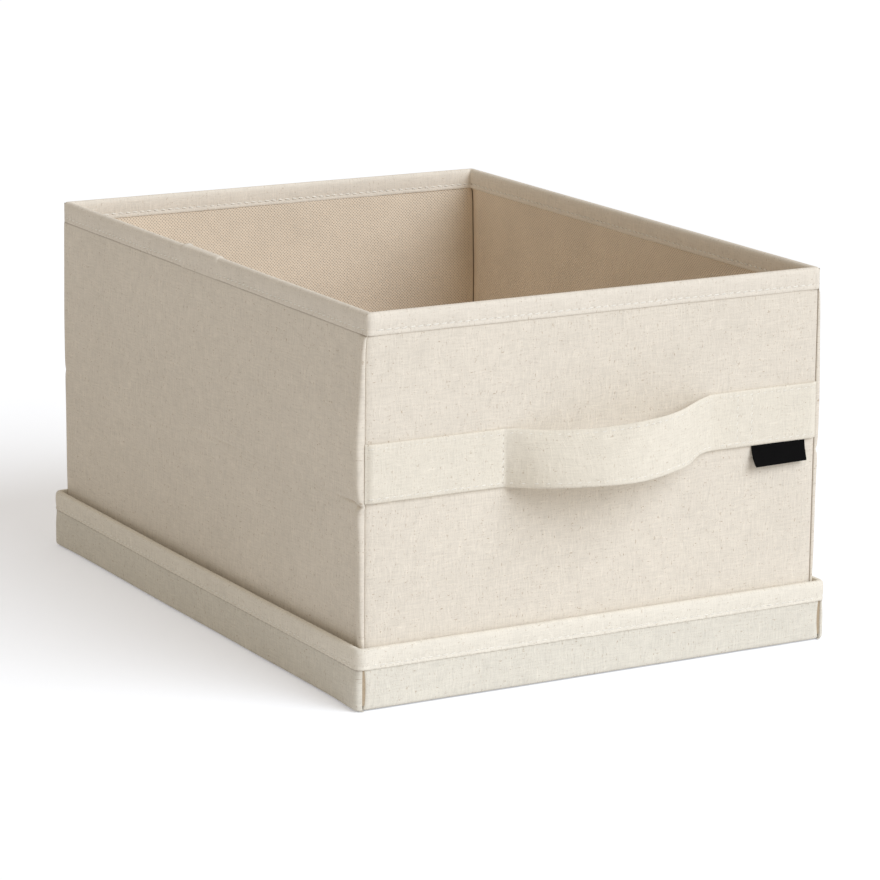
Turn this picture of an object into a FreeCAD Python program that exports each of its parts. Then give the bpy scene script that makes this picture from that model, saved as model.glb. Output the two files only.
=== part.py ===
import FreeCAD, Part
import math
import os

from FreeCAD import Vector

# Fabric storage box that stands in its own upturned lid.
# Millimetres, +Z up, front wall at -Y. The origin is the centre of the lid's underside.

# Box body
box_width = 270.0          # over the cloth of the two side walls
box_depth = 365.0          # over the cloth of the front and back walls
box_height = 200.0         # underside of the base to the top of the rim tape
cover_cloth = 0.5          # outer linen
lining_cloth = 0.5         # inner non-woven cloth
wall_board = 2.0           # stiffener between the two cloths
base_board = 2.4           # stiffener in the base
hem_thickness = 3.4        # doubled cloth at the four corner gussets
corner_groove = 0.3        # seam line between a gusset and the front or back wall
corner_round = 1.2         # radius of the base's corners, under the rim tape too

# Soft hems that stand out at the four upright corners
hem_stand = 3.6            # most that a hem stands out from the side wall
hem_hold = 1.6             # where the lid, the crease and the rim tape hold it in
hem_edge = 2.0             # straight part of its edge
hem_reach = 11.0           # where it runs out into the side wall, from the front
hem_setback = 0.2          # its front face behind the cloth of the front wall

# Folding walls
fold_gap = 1.2             # bare cloth between the lower and upper boards at the crease
crease_stand = 0.8         # fold line of the crease, out from the outer cloth
gusset_margin = 22.0       # level part of a gusset, before its 45 degree edge
gusset_gap = 0.3           # stitch line between a gusset and its side wall
hinge_gap = 0.3            # lower edge of a wall above the base lining

# Rim tape of the box
rim_tape = 0.7
rim_tape_height = 11.6
rim_tape_round = 0.5
tape_lap_length = 41.0     # where the tape's two ends overlap, on the left wall
tape_lap_centre = 4.5      # its middle, along Y
tape_lap_extra = 0.35

# Lid
lid_height = 32.8
lid_clearance = 1.0        # front and back wall to the lid's inner tape
lid_side_clearance = 2.8   # side walls to the tape, with room for the soft hems
lid_cover_cloth = 0.5
lid_panel_cloth = 0.6
lid_board = 2.0
lid_rim_board = 1.6
lid_lining_cloth = 0.4
lid_tape = 0.6
lid_tape_height = 10.8
lid_tape_round = 1.8       # radius of the tape's corners in plan
slit_foot = 0.1            # open slit at each lid corner, at its foot
slit_top = 0.8             # and under the tape
seat_gap = 0.3             # base of the box above the lid's lining

# Pull strap on the front wall
strap_height = 30.4
strap_thickness = 1.6
strap_over_crease = 1.7    # lower edge of the left run above the crease
strap_rise = 5.0           # how much higher the right run is sewn
loop_left = -58.0          # stitch row that ends the left run
loop_right = 72.0          # stitch row that starts the right run
loop_bulge = 28.0          # middle of the loop, out from the flat runs
loop_foot_radius = 22.0    # bend where the loop leaves the wall

# Folded tag under the right run
tag_from_end = 7.2         # its right end, in from the end of the strap
tag_length = 33.5
tag_drop = 11.0
tag_thickness = 1.0
tag_gap = 0.3              # to the strap above it
tag_stand = 0.4            # to the wall behind it

# Levels and faces that follow from the sizes above
wall = cover_cloth + wall_board + lining_cloth
half_x = box_width / 2
half_y = box_depth / 2
lid_floor = lid_panel_cloth + lid_board + lid_lining_cloth
base_bottom = lid_floor + seat_gap
base_top = base_bottom + cover_cloth + base_board + lining_cloth
wall_foot = base_top + hinge_gap
rim_top = base_bottom + box_height
wall_top = rim_top - rim_tape
crease = (wall_foot + wall_top) / 2
lower_top = crease - fold_gap / 2
upper_foot = crease + fold_gap / 2
tape_foot = rim_top - rim_tape_height
panel_half_x = half_x - corner_groove
tape_half_x = half_x - hem_thickness - corner_groove
gusset_front = -half_y + wall + corner_groove
strap_foot = crease + strap_over_crease
strap_face = half_y + strap_thickness
tag_right = panel_half_x - tag_from_end
lid_inner_x = half_x + lid_side_clearance
lid_inner_y = half_y + lid_clearance
lid_lining_x = lid_inner_x + lid_tape
lid_lining_y = lid_inner_y + lid_tape
lid_board_x = lid_lining_x + lid_lining_cloth
lid_board_y = lid_lining_y + lid_lining_cloth
lid_cover_x = lid_board_x + lid_rim_board
lid_cover_y = lid_board_y + lid_rim_board
lid_out_x = lid_cover_x + lid_cover_cloth
lid_out_y = lid_cover_y + lid_cover_cloth
lid_wall_top = lid_height - lid_tape
lid_tape_foot = lid_height - lid_tape_height


def block(x0, x1, y0, y1, z0, z1):
    return Part.makeBox(x1 - x0, y1 - y0, z1 - z0, Vector(x0, y0, z0))


def prism(points, travel):
    # a closed outline of points, pushed along one vector
    wire = Part.makePolygon([Vector(*p) for p in points + points[:1]])
    return Part.Face(wire).extrude(Vector(*travel))


def rounded_slab(hx, hy, radius, z0, z1):
    # a rectangle with rounded corners in plan
    slab = block(-hx, hx, -hy, hy, z0, z1)
    upright = [e for e in slab.Edges if abs(e.BoundBox.ZLength - (z1 - z0)) < 1e-6]
    return slab.makeFillet(radius, upright)


def mirror_x(shape):
    return shape.mirror(Vector(0, 0, 0), Vector(1, 0, 0))


def mirror_y(shape):
    return shape.mirror(Vector(0, 0, 0), Vector(0, 1, 0))


def group(shapes):
    return Part.makeCompound(shapes)


def lid_panel():
    return rounded_slab(lid_out_x, lid_out_y, lid_tape_round - lid_tape, 0, lid_panel_cloth)


def lid_floor_board():
    z1 = lid_panel_cloth + lid_board
    return block(-lid_board_x, lid_board_x, -lid_board_y, lid_board_y, lid_panel_cloth, z1)


def lid_floor_lining():
    z0 = lid_panel_cloth + lid_board
    return block(-lid_board_x, lid_board_x, -lid_board_y, lid_board_y, z0, lid_floor)


def side_flap(x0, x1, reach, foot):
    # one upright sheet of the left rim; its ends lean back and leave the corner slit open
    low = reach - slit_foot
    high = reach - slit_top
    outline = [(-x1, -low, foot), (-x1, low, foot), (-x1, high, lid_wall_top), (-x1, -high, lid_wall_top)]
    return prism(outline, (x1 - x0, 0, 0))


def front_flap(y0, y1, reach, foot):
    # the same for the front rim
    low = reach - slit_foot
    high = reach - slit_top
    outline = [(-low, -y1, foot), (low, -y1, foot), (high, -y1, lid_wall_top), (-high, -y1, lid_wall_top)]
    return prism(outline, (0, y1 - y0, 0))


def lid_rim_cloth():
    left = side_flap(lid_cover_x, lid_out_x, lid_cover_y, lid_panel_cloth)
    front = front_flap(lid_cover_y, lid_out_y, lid_cover_x, lid_panel_cloth)
    return group([left, mirror_x(left), front, mirror_y(front)])


def lid_rim_lining():
    left = side_flap(lid_lining_x, lid_board_x, lid_lining_y, lid_floor)
    front = front_flap(lid_lining_y, lid_board_y, lid_lining_x, lid_floor)
    return group([left, mirror_x(left), front, mirror_y(front)])


def lid_side_board():
    return side_flap(lid_board_x, lid_cover_x, lid_board_y, lid_panel_cloth)


def lid_front_board():
    return front_flap(lid_board_y, lid_cover_y, lid_board_x, lid_panel_cloth)


def lid_rim_tape():
    # a tape folded over the rim: a channel that runs round all four sides
    outer = rounded_slab(lid_out_x + lid_tape, lid_out_y + lid_tape, lid_tape_round, lid_tape_foot, lid_height)
    top_edges = [e for e in outer.Edges if e.BoundBox.ZMin > lid_height - 1e-6]
    outer = outer.makeFillet(lid_tape / 2, top_edges)
    inside = block(-lid_inner_x, lid_inner_x, -lid_inner_y, lid_inner_y, lid_tape_foot, lid_height)
    slot = rounded_slab(lid_out_x, lid_out_y, lid_tape_round - lid_tape, lid_tape_foot, lid_wall_top)
    core = block(-lid_lining_x, lid_lining_x, -lid_lining_y, lid_lining_y, lid_tape_foot, lid_wall_top)
    return outer.cut(inside).cut(slot.cut(core))


def base_cloth():
    return rounded_slab(half_x, half_y, corner_round, base_bottom, base_bottom + cover_cloth)


def base_stiffener():
    z0 = base_bottom + cover_cloth
    return rounded_slab(half_x - cover_cloth, half_y - cover_cloth, corner_round, z0, z0 + base_board)


def base_inner_cloth():
    return rounded_slab(half_x - cover_cloth, half_y - cover_cloth, corner_round, base_top - lining_cloth, base_top)


def hem_section(level, stand):
    # plan of a hem at one level: front face, rounded edge, and a slope back into the side wall
    nose = stand / 2
    x_edge = -half_x - stand
    y = -half_y + hem_setback
    diagonal = nose * (1 - math.sqrt(0.5))
    foot = Vector(-half_x, y, level)
    nose_start = Vector(x_edge + nose, y, level)
    nose_middle = Vector(x_edge + diagonal, y + diagonal, level)
    nose_end = Vector(x_edge, y + nose, level)
    edge_end = Vector(x_edge, y + nose + hem_edge, level)
    heel = Vector(-half_x, y + hem_reach, level)
    return Part.Wire([
        Part.makeLine(foot, nose_start),
        Part.Arc(nose_start, nose_middle, nose_end).toShape(),
        Part.makeLine(nose_end, edge_end),
        Part.makeLine(edge_end, heel),
        Part.makeLine(heel, foot),
    ])


def hem_swell(foot, top):
    # a hem that swells between two levels where it is held in
    sections = []
    for share in (0, 0.05, 0.2, 0.5, 0.8, 0.95, 1):
        swell = math.sqrt(max(0, math.sin(math.pi * share)))
        sections.append(hem_section(foot + share * (top - foot), hem_hold + (hem_stand - hem_hold) * swell))
    return Part.makeLoft(sections, True, True)


def corner_gusset():
    # front left: doubled cloth behind the front wall's end, back to the 45 degree fold lines
    edge = -half_y + gusset_margin - gusset_gap
    reach = crease - wall_foot
    outline = [
        (-half_x, gusset_front, wall_foot),
        (-half_x, edge, wall_foot),
        (-half_x, edge + reach, crease),
        (-half_x, edge, wall_top),
        (-half_x, gusset_front, wall_top),
    ]
    sheet = prism(outline, (hem_thickness, 0, 0))
    held = Part.makeLoft([hem_section(z, hem_hold) for z in (wall_foot, lid_height)], True, True)
    low = hem_swell(lid_height, crease)
    high = hem_swell(crease, tape_foot - corner_groove)
    return sheet.fuse([held, low, high]).removeSplitter()


def corner_tape():
    # rim tape of one corner, from the side wall's run round to the front wall's run
    x_out = -half_x - rim_tape
    x_turn = -tape_half_x - corner_groove / 2
    outer = block(x_out, x_turn, -half_y - rim_tape, 0, tape_foot, rim_top)
    corner = [e for e in outer.Edges if e.BoundBox.XMax < x_out + 1e-6 and e.BoundBox.YMax < -half_y - rim_tape + 1e-6]
    outer = outer.makeFillet(corner_round + rim_tape, corner)
    inner_face = -half_x + hem_thickness
    start = -half_y + wall + rim_tape + corner_groove
    inner = block(inner_face, inner_face + rim_tape, start, 0, tape_foot, rim_top)
    band = outer.fuse(inner).cut(side_zone(tape_foot, rim_top, gusset_gap))
    sheets = [
        block(-half_x, inner_face, -half_y, 0, tape_foot, wall_top),
        block(-half_x, x_turn, -half_y, start, tape_foot, wall_top),
    ]
    return band.cut(sheets).removeSplitter()


def fold_line(z):
    # where the 45 degree fold line crosses a level of the side wall, from the middle of the box
    return half_y - gusset_margin - max(0, min(z - wall_foot, wall_top - z))


def side_zone(foot, top, gap):
    # all that lies between a side wall's fold lines, from one level to another
    x = half_x + rim_tape + 1
    levels = [foot] + [z for z in (wall_top,) if foot < z < top] + [top]
    front = [(-x, -fold_line(z) - gap, z) for z in levels]
    back = [(-x, fold_line(z) + gap, z) for z in reversed(levels)]
    return prism(front + back, (x, 0, 0))


def side_half(x0, x1, foot, top):
    # a sheet of the left wall between two levels; its ends follow the 45 degree fold lines
    return block(x0, x1, -half_y, half_y, foot, top).common(side_zone(foot, top, 0))


def side_cover(foot, top):
    return side_half(-half_x, -half_x + cover_cloth, foot, top)


def side_stiffener(foot, top):
    return side_half(-half_x + cover_cloth, -half_x + cover_cloth + wall_board, foot, top)


def side_lining(foot, top):
    return side_half(-half_x + wall - lining_cloth, -half_x + wall, foot, top)


def tape_channel(inside, outside, length, extra):
    # rim tape folded over a wall that lies between the planes x = outside and x = inside
    body = block(outside - rim_tape - extra, inside + rim_tape + extra, -length / 2, length / 2, tape_foot, rim_top)
    top_edges = [e for e in body.Edges if e.BoundBox.ZMin > rim_top - 1e-6 and e.BoundBox.YLength > length - 1e-3]
    body = body.makeFillet(rim_tape_round, top_edges)
    return body.cut(block(outside, inside, -length / 2, length / 2, tape_foot, wall_top))


def side_tape():
    run = tape_channel(-half_x + wall, -half_x, box_depth, 0)
    return run.common(side_zone(tape_foot, rim_top, 0))


def left_tape():
    # the tape's ends lap over each other here
    run = side_tape()
    lap = tape_channel(-half_x + wall, -half_x, tape_lap_length, tape_lap_extra)
    lap.translate(Vector(0, tape_lap_centre, 0))
    return run.fuse(lap).removeSplitter()


def front_half(y0, y1, foot, top):
    return block(-panel_half_x, panel_half_x, y0, y1, foot, top)


def front_cover(foot, top):
    return front_half(-half_y, -half_y + cover_cloth, foot, top)


def front_stiffener(foot, top):
    return front_half(-half_y + cover_cloth, -half_y + cover_cloth + wall_board, foot, top)


def front_lining(foot, top):
    return front_half(-half_y + wall - lining_cloth, -half_y + wall, foot, top)


def front_tape():
    run = tape_channel(-half_y + wall, -half_y, 2 * tape_half_x, 0)
    run.rotate(Vector(0, 0, 0), Vector(0, 0, 1), 90)
    return run


def strap_run(x0, x1, foot):
    return block(x0, x1, -strap_face, -half_y, foot, foot + strap_height)


def loop_side(gap):
    # one face of the loop in plan, gap mm outside its middle surface: foot bend, crown, foot bend
    mid_x = (loop_left + loop_right) / 2
    half_span = (loop_right - loop_left) / 2
    turn = 2 * math.atan2(loop_bulge, half_span)
    radii = half_span / math.sin(turn)
    foot_r = loop_foot_radius - gap
    crown_r = radii - loop_foot_radius + gap
    base = half_y + strap_thickness / 2

    def point(x, out):
        return Vector(x, -(base + out), 0)

    def foot_point(angle, side):
        x = half_span - foot_r * math.sin(angle)
        return point(mid_x + side * x, loop_foot_radius - foot_r * math.cos(angle))

    def crown_point(angle):
        centre = loop_bulge - crown_r + gap
        return point(mid_x + crown_r * math.sin(angle), centre + crown_r * math.cos(angle))

    left = Part.Arc(foot_point(0, -1), foot_point(turn / 2, -1), foot_point(turn, -1)).toShape()
    crown = Part.Arc(crown_point(-turn), crown_point(0), crown_point(turn)).toShape()
    right = Part.Arc(foot_point(turn, 1), foot_point(turn / 2, 1), foot_point(0, 1)).toShape()
    return [left, crown, right]


def handle_loop():
    # one ribbon of even thickness, tilted a little because its right end is sewn higher
    half = strap_thickness / 2
    inner = loop_side(-half)
    outer = loop_side(half)
    ends = [
        Part.makeLine(inner[0].Vertexes[0].Point, outer[0].Vertexes[0].Point),
        Part.makeLine(inner[2].Vertexes[1].Point, outer[2].Vertexes[1].Point),
    ]
    wire = Part.Wire(Part.__sortEdges__(inner + outer + ends))
    tilt = math.degrees(math.atan2(strap_rise, loop_right - loop_left))
    wire.rotate(Vector(loop_left, 0, 0), Vector(0, 1, 0), -tilt)
    wire.translate(Vector(0, 0, strap_foot))
    return Part.Face(wire).extrude(Vector(0, 0, strap_height))


def folded_tag():
    # a strip folded in two; its upper edge is round because it turns under the strap
    radius = tag_thickness / 2
    y = -half_y - tag_stand - radius
    top = strap_foot + strap_rise - tag_gap
    bottom = top - tag_drop
    strip = block(tag_right - tag_length, tag_right, y - radius, y + radius, bottom, top)
    long_edges = [e for e in strip.Edges if abs(e.BoundBox.XLength - tag_length) < 1e-3]
    return strip.makeFillet(radius * 0.98, long_edges)


def walls():
    # every wall has a lower and an upper half, joined at the crease
    halves = {"lower": (wall_foot, lower_top), "upper": (upper_foot, wall_top)}
    parts = {}
    for half, (foot, top) in halves.items():
        sheets = {
            "cover": (side_cover(foot, top), front_cover(foot, top)),
            "board": (side_stiffener(foot, top), front_stiffener(foot, top)),
            "lining": (side_lining(foot, top), front_lining(foot, top)),
        }
        for name, (left, front) in sheets.items():
            parts[f"left_{name}_{half}"] = left
            parts[f"right_{name}_{half}"] = mirror_x(left)
            parts[f"front_{name}_{half}"] = front
            parts[f"back_{name}_{half}"] = mirror_y(front)
    return parts


def build():
    gusset = corner_gusset()
    tape = corner_tape()
    side_board = lid_side_board()
    front_board = lid_front_board()
    parts = {
        "lid_panel_cloth": lid_panel(),
        "lid_board": lid_floor_board(),
        "lid_panel_lining": lid_floor_lining(),
        "lid_rim_cloths": lid_rim_cloth(),
        "lid_rim_linings": lid_rim_lining(),
        "lid_rim_board_left": side_board,
        "lid_rim_board_right": mirror_x(side_board),
        "lid_rim_board_front": front_board,
        "lid_rim_board_back": mirror_y(front_board),
        "lid_binding": lid_rim_tape(),
        "base_cover": base_cloth(),
        "base_board": base_stiffener(),
        "base_lining": base_inner_cloth(),
        "corner_gusset_front_left": gusset,
        "corner_gusset_front_right": mirror_x(gusset),
        "corner_gusset_back_left": mirror_y(gusset),
        "corner_gusset_back_right": mirror_x(mirror_y(gusset)),
        "rim_binding_corners": group([tape, mirror_x(tape), mirror_y(tape), mirror_x(mirror_y(tape))]),
        "rim_binding_left": left_tape(),
        "rim_binding_right": mirror_x(side_tape()),
        "rim_binding_front": front_tape(),
        "rim_binding_back": mirror_y(front_tape()),
        "strap_left": strap_run(-panel_half_x, loop_left, strap_foot),
        "strap_right": strap_run(loop_right, panel_half_x, strap_foot + strap_rise),
        "handle_loop": handle_loop(),
        "folded_tag": folded_tag(),
    }
    parts.update(walls())
    return parts


def export(parts):
    os.makedirs("parts", exist_ok=True)
    for name, shape in parts.items():
        if not shape.isValid():
            raise ValueError(f"{name} is not a valid solid")
        shape.exportStep(f"parts/{name}.step")
        print(f"{name}: {len(shape.Solids)} solid, {shape.Volume / 1000:.2f} cm3")


export(build())
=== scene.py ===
"""Fabric storage box that stands in its own lid: cloth, tape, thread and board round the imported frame."""

import logging
import math
from dataclasses import dataclass, field
from enum import Enum
from typing import Any, Callable, NamedTuple, Optional, Sequence, Union

import bpy
from mathutils import Matrix, Vector, noise


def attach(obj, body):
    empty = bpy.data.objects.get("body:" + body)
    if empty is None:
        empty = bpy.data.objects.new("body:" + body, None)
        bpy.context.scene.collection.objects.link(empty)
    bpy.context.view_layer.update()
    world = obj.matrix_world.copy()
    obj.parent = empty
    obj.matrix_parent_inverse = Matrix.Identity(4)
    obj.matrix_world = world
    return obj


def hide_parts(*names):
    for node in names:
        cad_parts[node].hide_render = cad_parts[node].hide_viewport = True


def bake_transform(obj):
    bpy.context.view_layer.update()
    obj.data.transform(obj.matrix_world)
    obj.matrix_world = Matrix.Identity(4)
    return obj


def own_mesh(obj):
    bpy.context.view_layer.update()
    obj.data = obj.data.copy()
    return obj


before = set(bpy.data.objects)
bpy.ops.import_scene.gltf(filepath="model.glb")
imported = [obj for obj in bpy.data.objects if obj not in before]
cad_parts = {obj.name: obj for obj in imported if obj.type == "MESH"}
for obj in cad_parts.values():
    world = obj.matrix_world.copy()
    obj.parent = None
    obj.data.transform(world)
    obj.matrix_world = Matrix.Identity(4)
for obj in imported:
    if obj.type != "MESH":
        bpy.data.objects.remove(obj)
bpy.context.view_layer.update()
MM = 0.001
MERGE_DISTANCE = 0.00001
PATTERN_STEP = 300
DIAGONAL = 0.7071
log = logging.getLogger("storage_box")

Colour = tuple[float, float, float]
Frame = tuple[Vector, Vector, Vector]


class Gauge:
    """Thickness of each soft piece, in millimetres."""

    CLOTH = 0.5
    LID_LINING = 0.35
    TAPE = 0.3
    RIBBON = 0.32


def smooth(low: float, high: float, at: float) -> float:
    """Eases from 0 at one value to 1 at another.

    Args:
        low: Where the result is 0.
        high: Where the result is 1.
        at: The value looked up.

    Returns:
        The eased share, from 0 to 1.
    """
    share = min(1.0, max(0.0, (at - low) / (high - low)))
    return share * share * (3 - 2 * share)


def lerp(start: float, end: float, share: float) -> float:
    """Goes straight from one number to another."""
    return start + (end - start) * share


def spread(start: float, end: float, count: int) -> list[float]:
    """Lists evenly spaced numbers, both ends among them."""
    return [lerp(start, end, k / count) for k in range(count + 1)]


def follow(knots: Sequence[tuple[float, float]], at: float) -> float:
    """Reads a smooth curve through given points.

    Args:
        knots: Pairs of place and height, in rising order of place.
        at: The place looked up.

    Returns:
        The curve's height there.
    """
    if at <= knots[0][0]:
        return knots[0][1]
    if at >= knots[-1][0]:
        return knots[-1][1]
    k = max(i for i in range(len(knots) - 1) if knots[i][0] <= at)
    (x0, y0), (x1, y1) = knots[k], knots[k + 1]
    xa, ya = knots[max(k - 1, 0)]
    xb, yb = knots[min(k + 2, len(knots) - 1)]
    width = x1 - x0
    slope_in = (y1 - ya) / (x1 - xa) * width
    slope_out = (yb - y0) / (xb - x0) * width
    t = (at - x0) / width
    return (
        y0 * (2 * t**3 - 3 * t**2 + 1)
        + slope_in * (t**3 - 2 * t**2 + t)
        + y1 * (3 * t**2 - 2 * t**3)
        + slope_out * (t**3 - t**2)
    )


def unrolled(profile: Sequence[tuple[float, float]]) -> list[float]:
    """Lists how far along a cross-section each of its points is.

    Args:
        profile: The cross-section's points.

    Returns:
        The distance run at each point, from 0.
    """
    run = [0.0]
    for (a0, b0), (a1, b1) in zip(profile, profile[1:]):
        run.append(run[-1] + math.hypot(a1 - a0, b1 - b0))
    return run


def bell(at: float, middle: float, width: float) -> float:
    """A soft bump, 1 at its middle and near 0 two widths away."""
    return math.exp(-(((at - middle) / width) ** 2))


def scallop(s: float, pitch: float) -> float:
    """Wave of a tape along its stitches: 1 between two of them and -1 at the middle of one."""
    return math.cos(2 * math.pi * s / pitch)


def wander(x: float, y: float, seed: float) -> float:
    """Slow unevenness of cloth, from about -1 to 1, for a place in millimetres.

    Args:
        x: First coordinate.
        y: Second coordinate.
        seed: Which pattern it is.

    Returns:
        The unevenness there.
    """
    broad = noise.noise(Vector((x / 78, y / 62, seed)))
    near = noise.noise(Vector((x / 31, y / 25, seed + 5.3)))
    close = noise.noise(Vector((x / 11, y / 10, seed + 9.1)))
    return 1.1 * broad + 0.5 * near + 0.16 * close


class Knot(NamedTuple):
    """One point of a cloth, in millimetres: its place, its place on the flat cloth, and its clearness.

    Clearness goes from 0 in a seam or groove, where the cloth takes painted shade, to 1 on the open cloth.
    """

    x: float
    y: float
    z: float
    u: float
    v: float
    clear: float = 1.0


class Side(Enum):
    """A wall, seen from outside: its name, the ways to its right and out, and its own seed."""

    FRONT = ("front", (1, 0), (0, -1), 2.7)
    BACK = ("back", (-1, 0), (0, 1), 13.1)
    LEFT = ("left", (0, -1), (-1, 0), 23.9)
    RIGHT = ("right", (0, 1), (1, 0), 37.3)

    @property
    def label(self) -> str:
        """The wall's name in the frame."""
        return self.value[0]

    @property
    def long(self) -> bool:
        """Whether the wall runs along Y."""
        return self in (Side.LEFT, Side.RIGHT)

    @property
    def seed(self) -> float:
        """A number of its own for the wall's unevenness."""
        return self.value[3]

    def spot(
        self, s: float, z: float, d: float, u: Optional[float] = None, v: Optional[float] = None,
        clear: float = 1.0,
    ) -> Knot:
        """Places a point of the wall.

        Args:
            s: Distance to the right of the wall's middle.
            z: Height.
            d: Distance out from the box's middle.
            u: Place along the flat cloth, if it isn't s.
            v: Place up the flat cloth, if it isn't z.
            clear: Its clearness.

        Returns:
            The point.
        """
        (rx, ry), (ox, oy) = self.value[1], self.value[2]
        flat_u, flat_v = s if u is None else u, z if v is None else v
        return Knot(rx * s + ox * d, ry * s + oy * d, z, flat_u + PATTERN_STEP * self.seed, flat_v, clear)

    def vectors(self) -> tuple[Vector, Vector]:
        """The way to the right along the wall and the way out of it."""
        return Vector((*self.value[1], 0)), Vector((*self.value[2], 0))


@dataclass(frozen=True)
class Corner:
    """One of the four upright corners, by the signs of its X and Y."""

    sx: int
    sy: int

    @property
    def label(self) -> str:
        """The corner's name in the frame."""
        return ("front" if self.sy < 0 else "back") + "_" + ("left" if self.sx < 0 else "right")

    @property
    def side(self) -> Side:
        """The side wall that the corner belongs to."""
        return Side.LEFT if self.sx < 0 else Side.RIGHT

    @property
    def turned(self) -> bool:
        """Whether its columns run the other way when seen from outside."""
        return self.sx * self.sy < 0

    def along(self, y: float) -> float:
        """The side wall's own coordinate for a distance towards this corner."""
        return y if self.sx * self.sy > 0 else -y


CORNERS = [Corner(-1, -1), Corner(1, -1), Corner(-1, 1), Corner(1, 1)]


class Value:
    """A number that varies over a surface, with arithmetic that adds Math nodes."""

    def __init__(self, graph: "Graph", socket: bpy.types.NodeSocket) -> None:
        """Wraps a socket of a graph."""
        self.graph, self.socket = graph, socket

    def _math(self, operation: str, *values: "Number") -> "Value":
        """Adds one Math node."""
        made = self.graph.node("ShaderNodeMath", {"operation": operation}, dict(enumerate(values)))
        return Value(self.graph, made.outputs[0])

    def __add__(self, other: "Number") -> "Value":
        """Adds."""
        return self._math("ADD", self, other)

    def __sub__(self, other: "Number") -> "Value":
        """Subtracts."""
        return self._math("SUBTRACT", self, other)

    def __rsub__(self, other: "Number") -> "Value":
        """Subtracts from a number."""
        return self._math("SUBTRACT", other, self)

    def __mul__(self, other: "Number") -> "Value":
        """Multiplies."""
        return self._math("MULTIPLY", self, other)

    __radd__ = __add__
    __rmul__ = __mul__

    def wave(self, pitch: float) -> "Value":
        """A sine of the value, once up and down over each pitch."""
        return self._math("SINE", self * (2 * math.pi / pitch))

    def top(self, other: "Number") -> "Value":
        """The larger of two numbers."""
        return self._math("MAXIMUM", self, other)

    def size(self) -> "Value":
        """The number without its sign."""
        return self._math("ABSOLUTE", self)

    def from_nearest(self, pitch: float) -> "Value":
        """Distance to the nearest multiple of a pitch."""
        return (self._math("FLOORED_MODULO", self + pitch / 2, pitch) - pitch / 2).size()

    def eased(self, low: float, high: float) -> "Value":
        """Eases from 0 at one value to 1 at another, either way round.

        Args:
            low: Where the result is 0.
            high: Where the result is 1.

        Returns:
            The eased share.
        """
        made = self.graph.node(
            "ShaderNodeMapRange", {"interpolation_type": "SMOOTHSTEP"},
            {0: self, 1: min(low, high), 2: max(low, high), 3: float(low > high), 4: float(low < high)},
        )
        return Value(self.graph, made.outputs[0])


Number = Union[float, Value]


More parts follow.
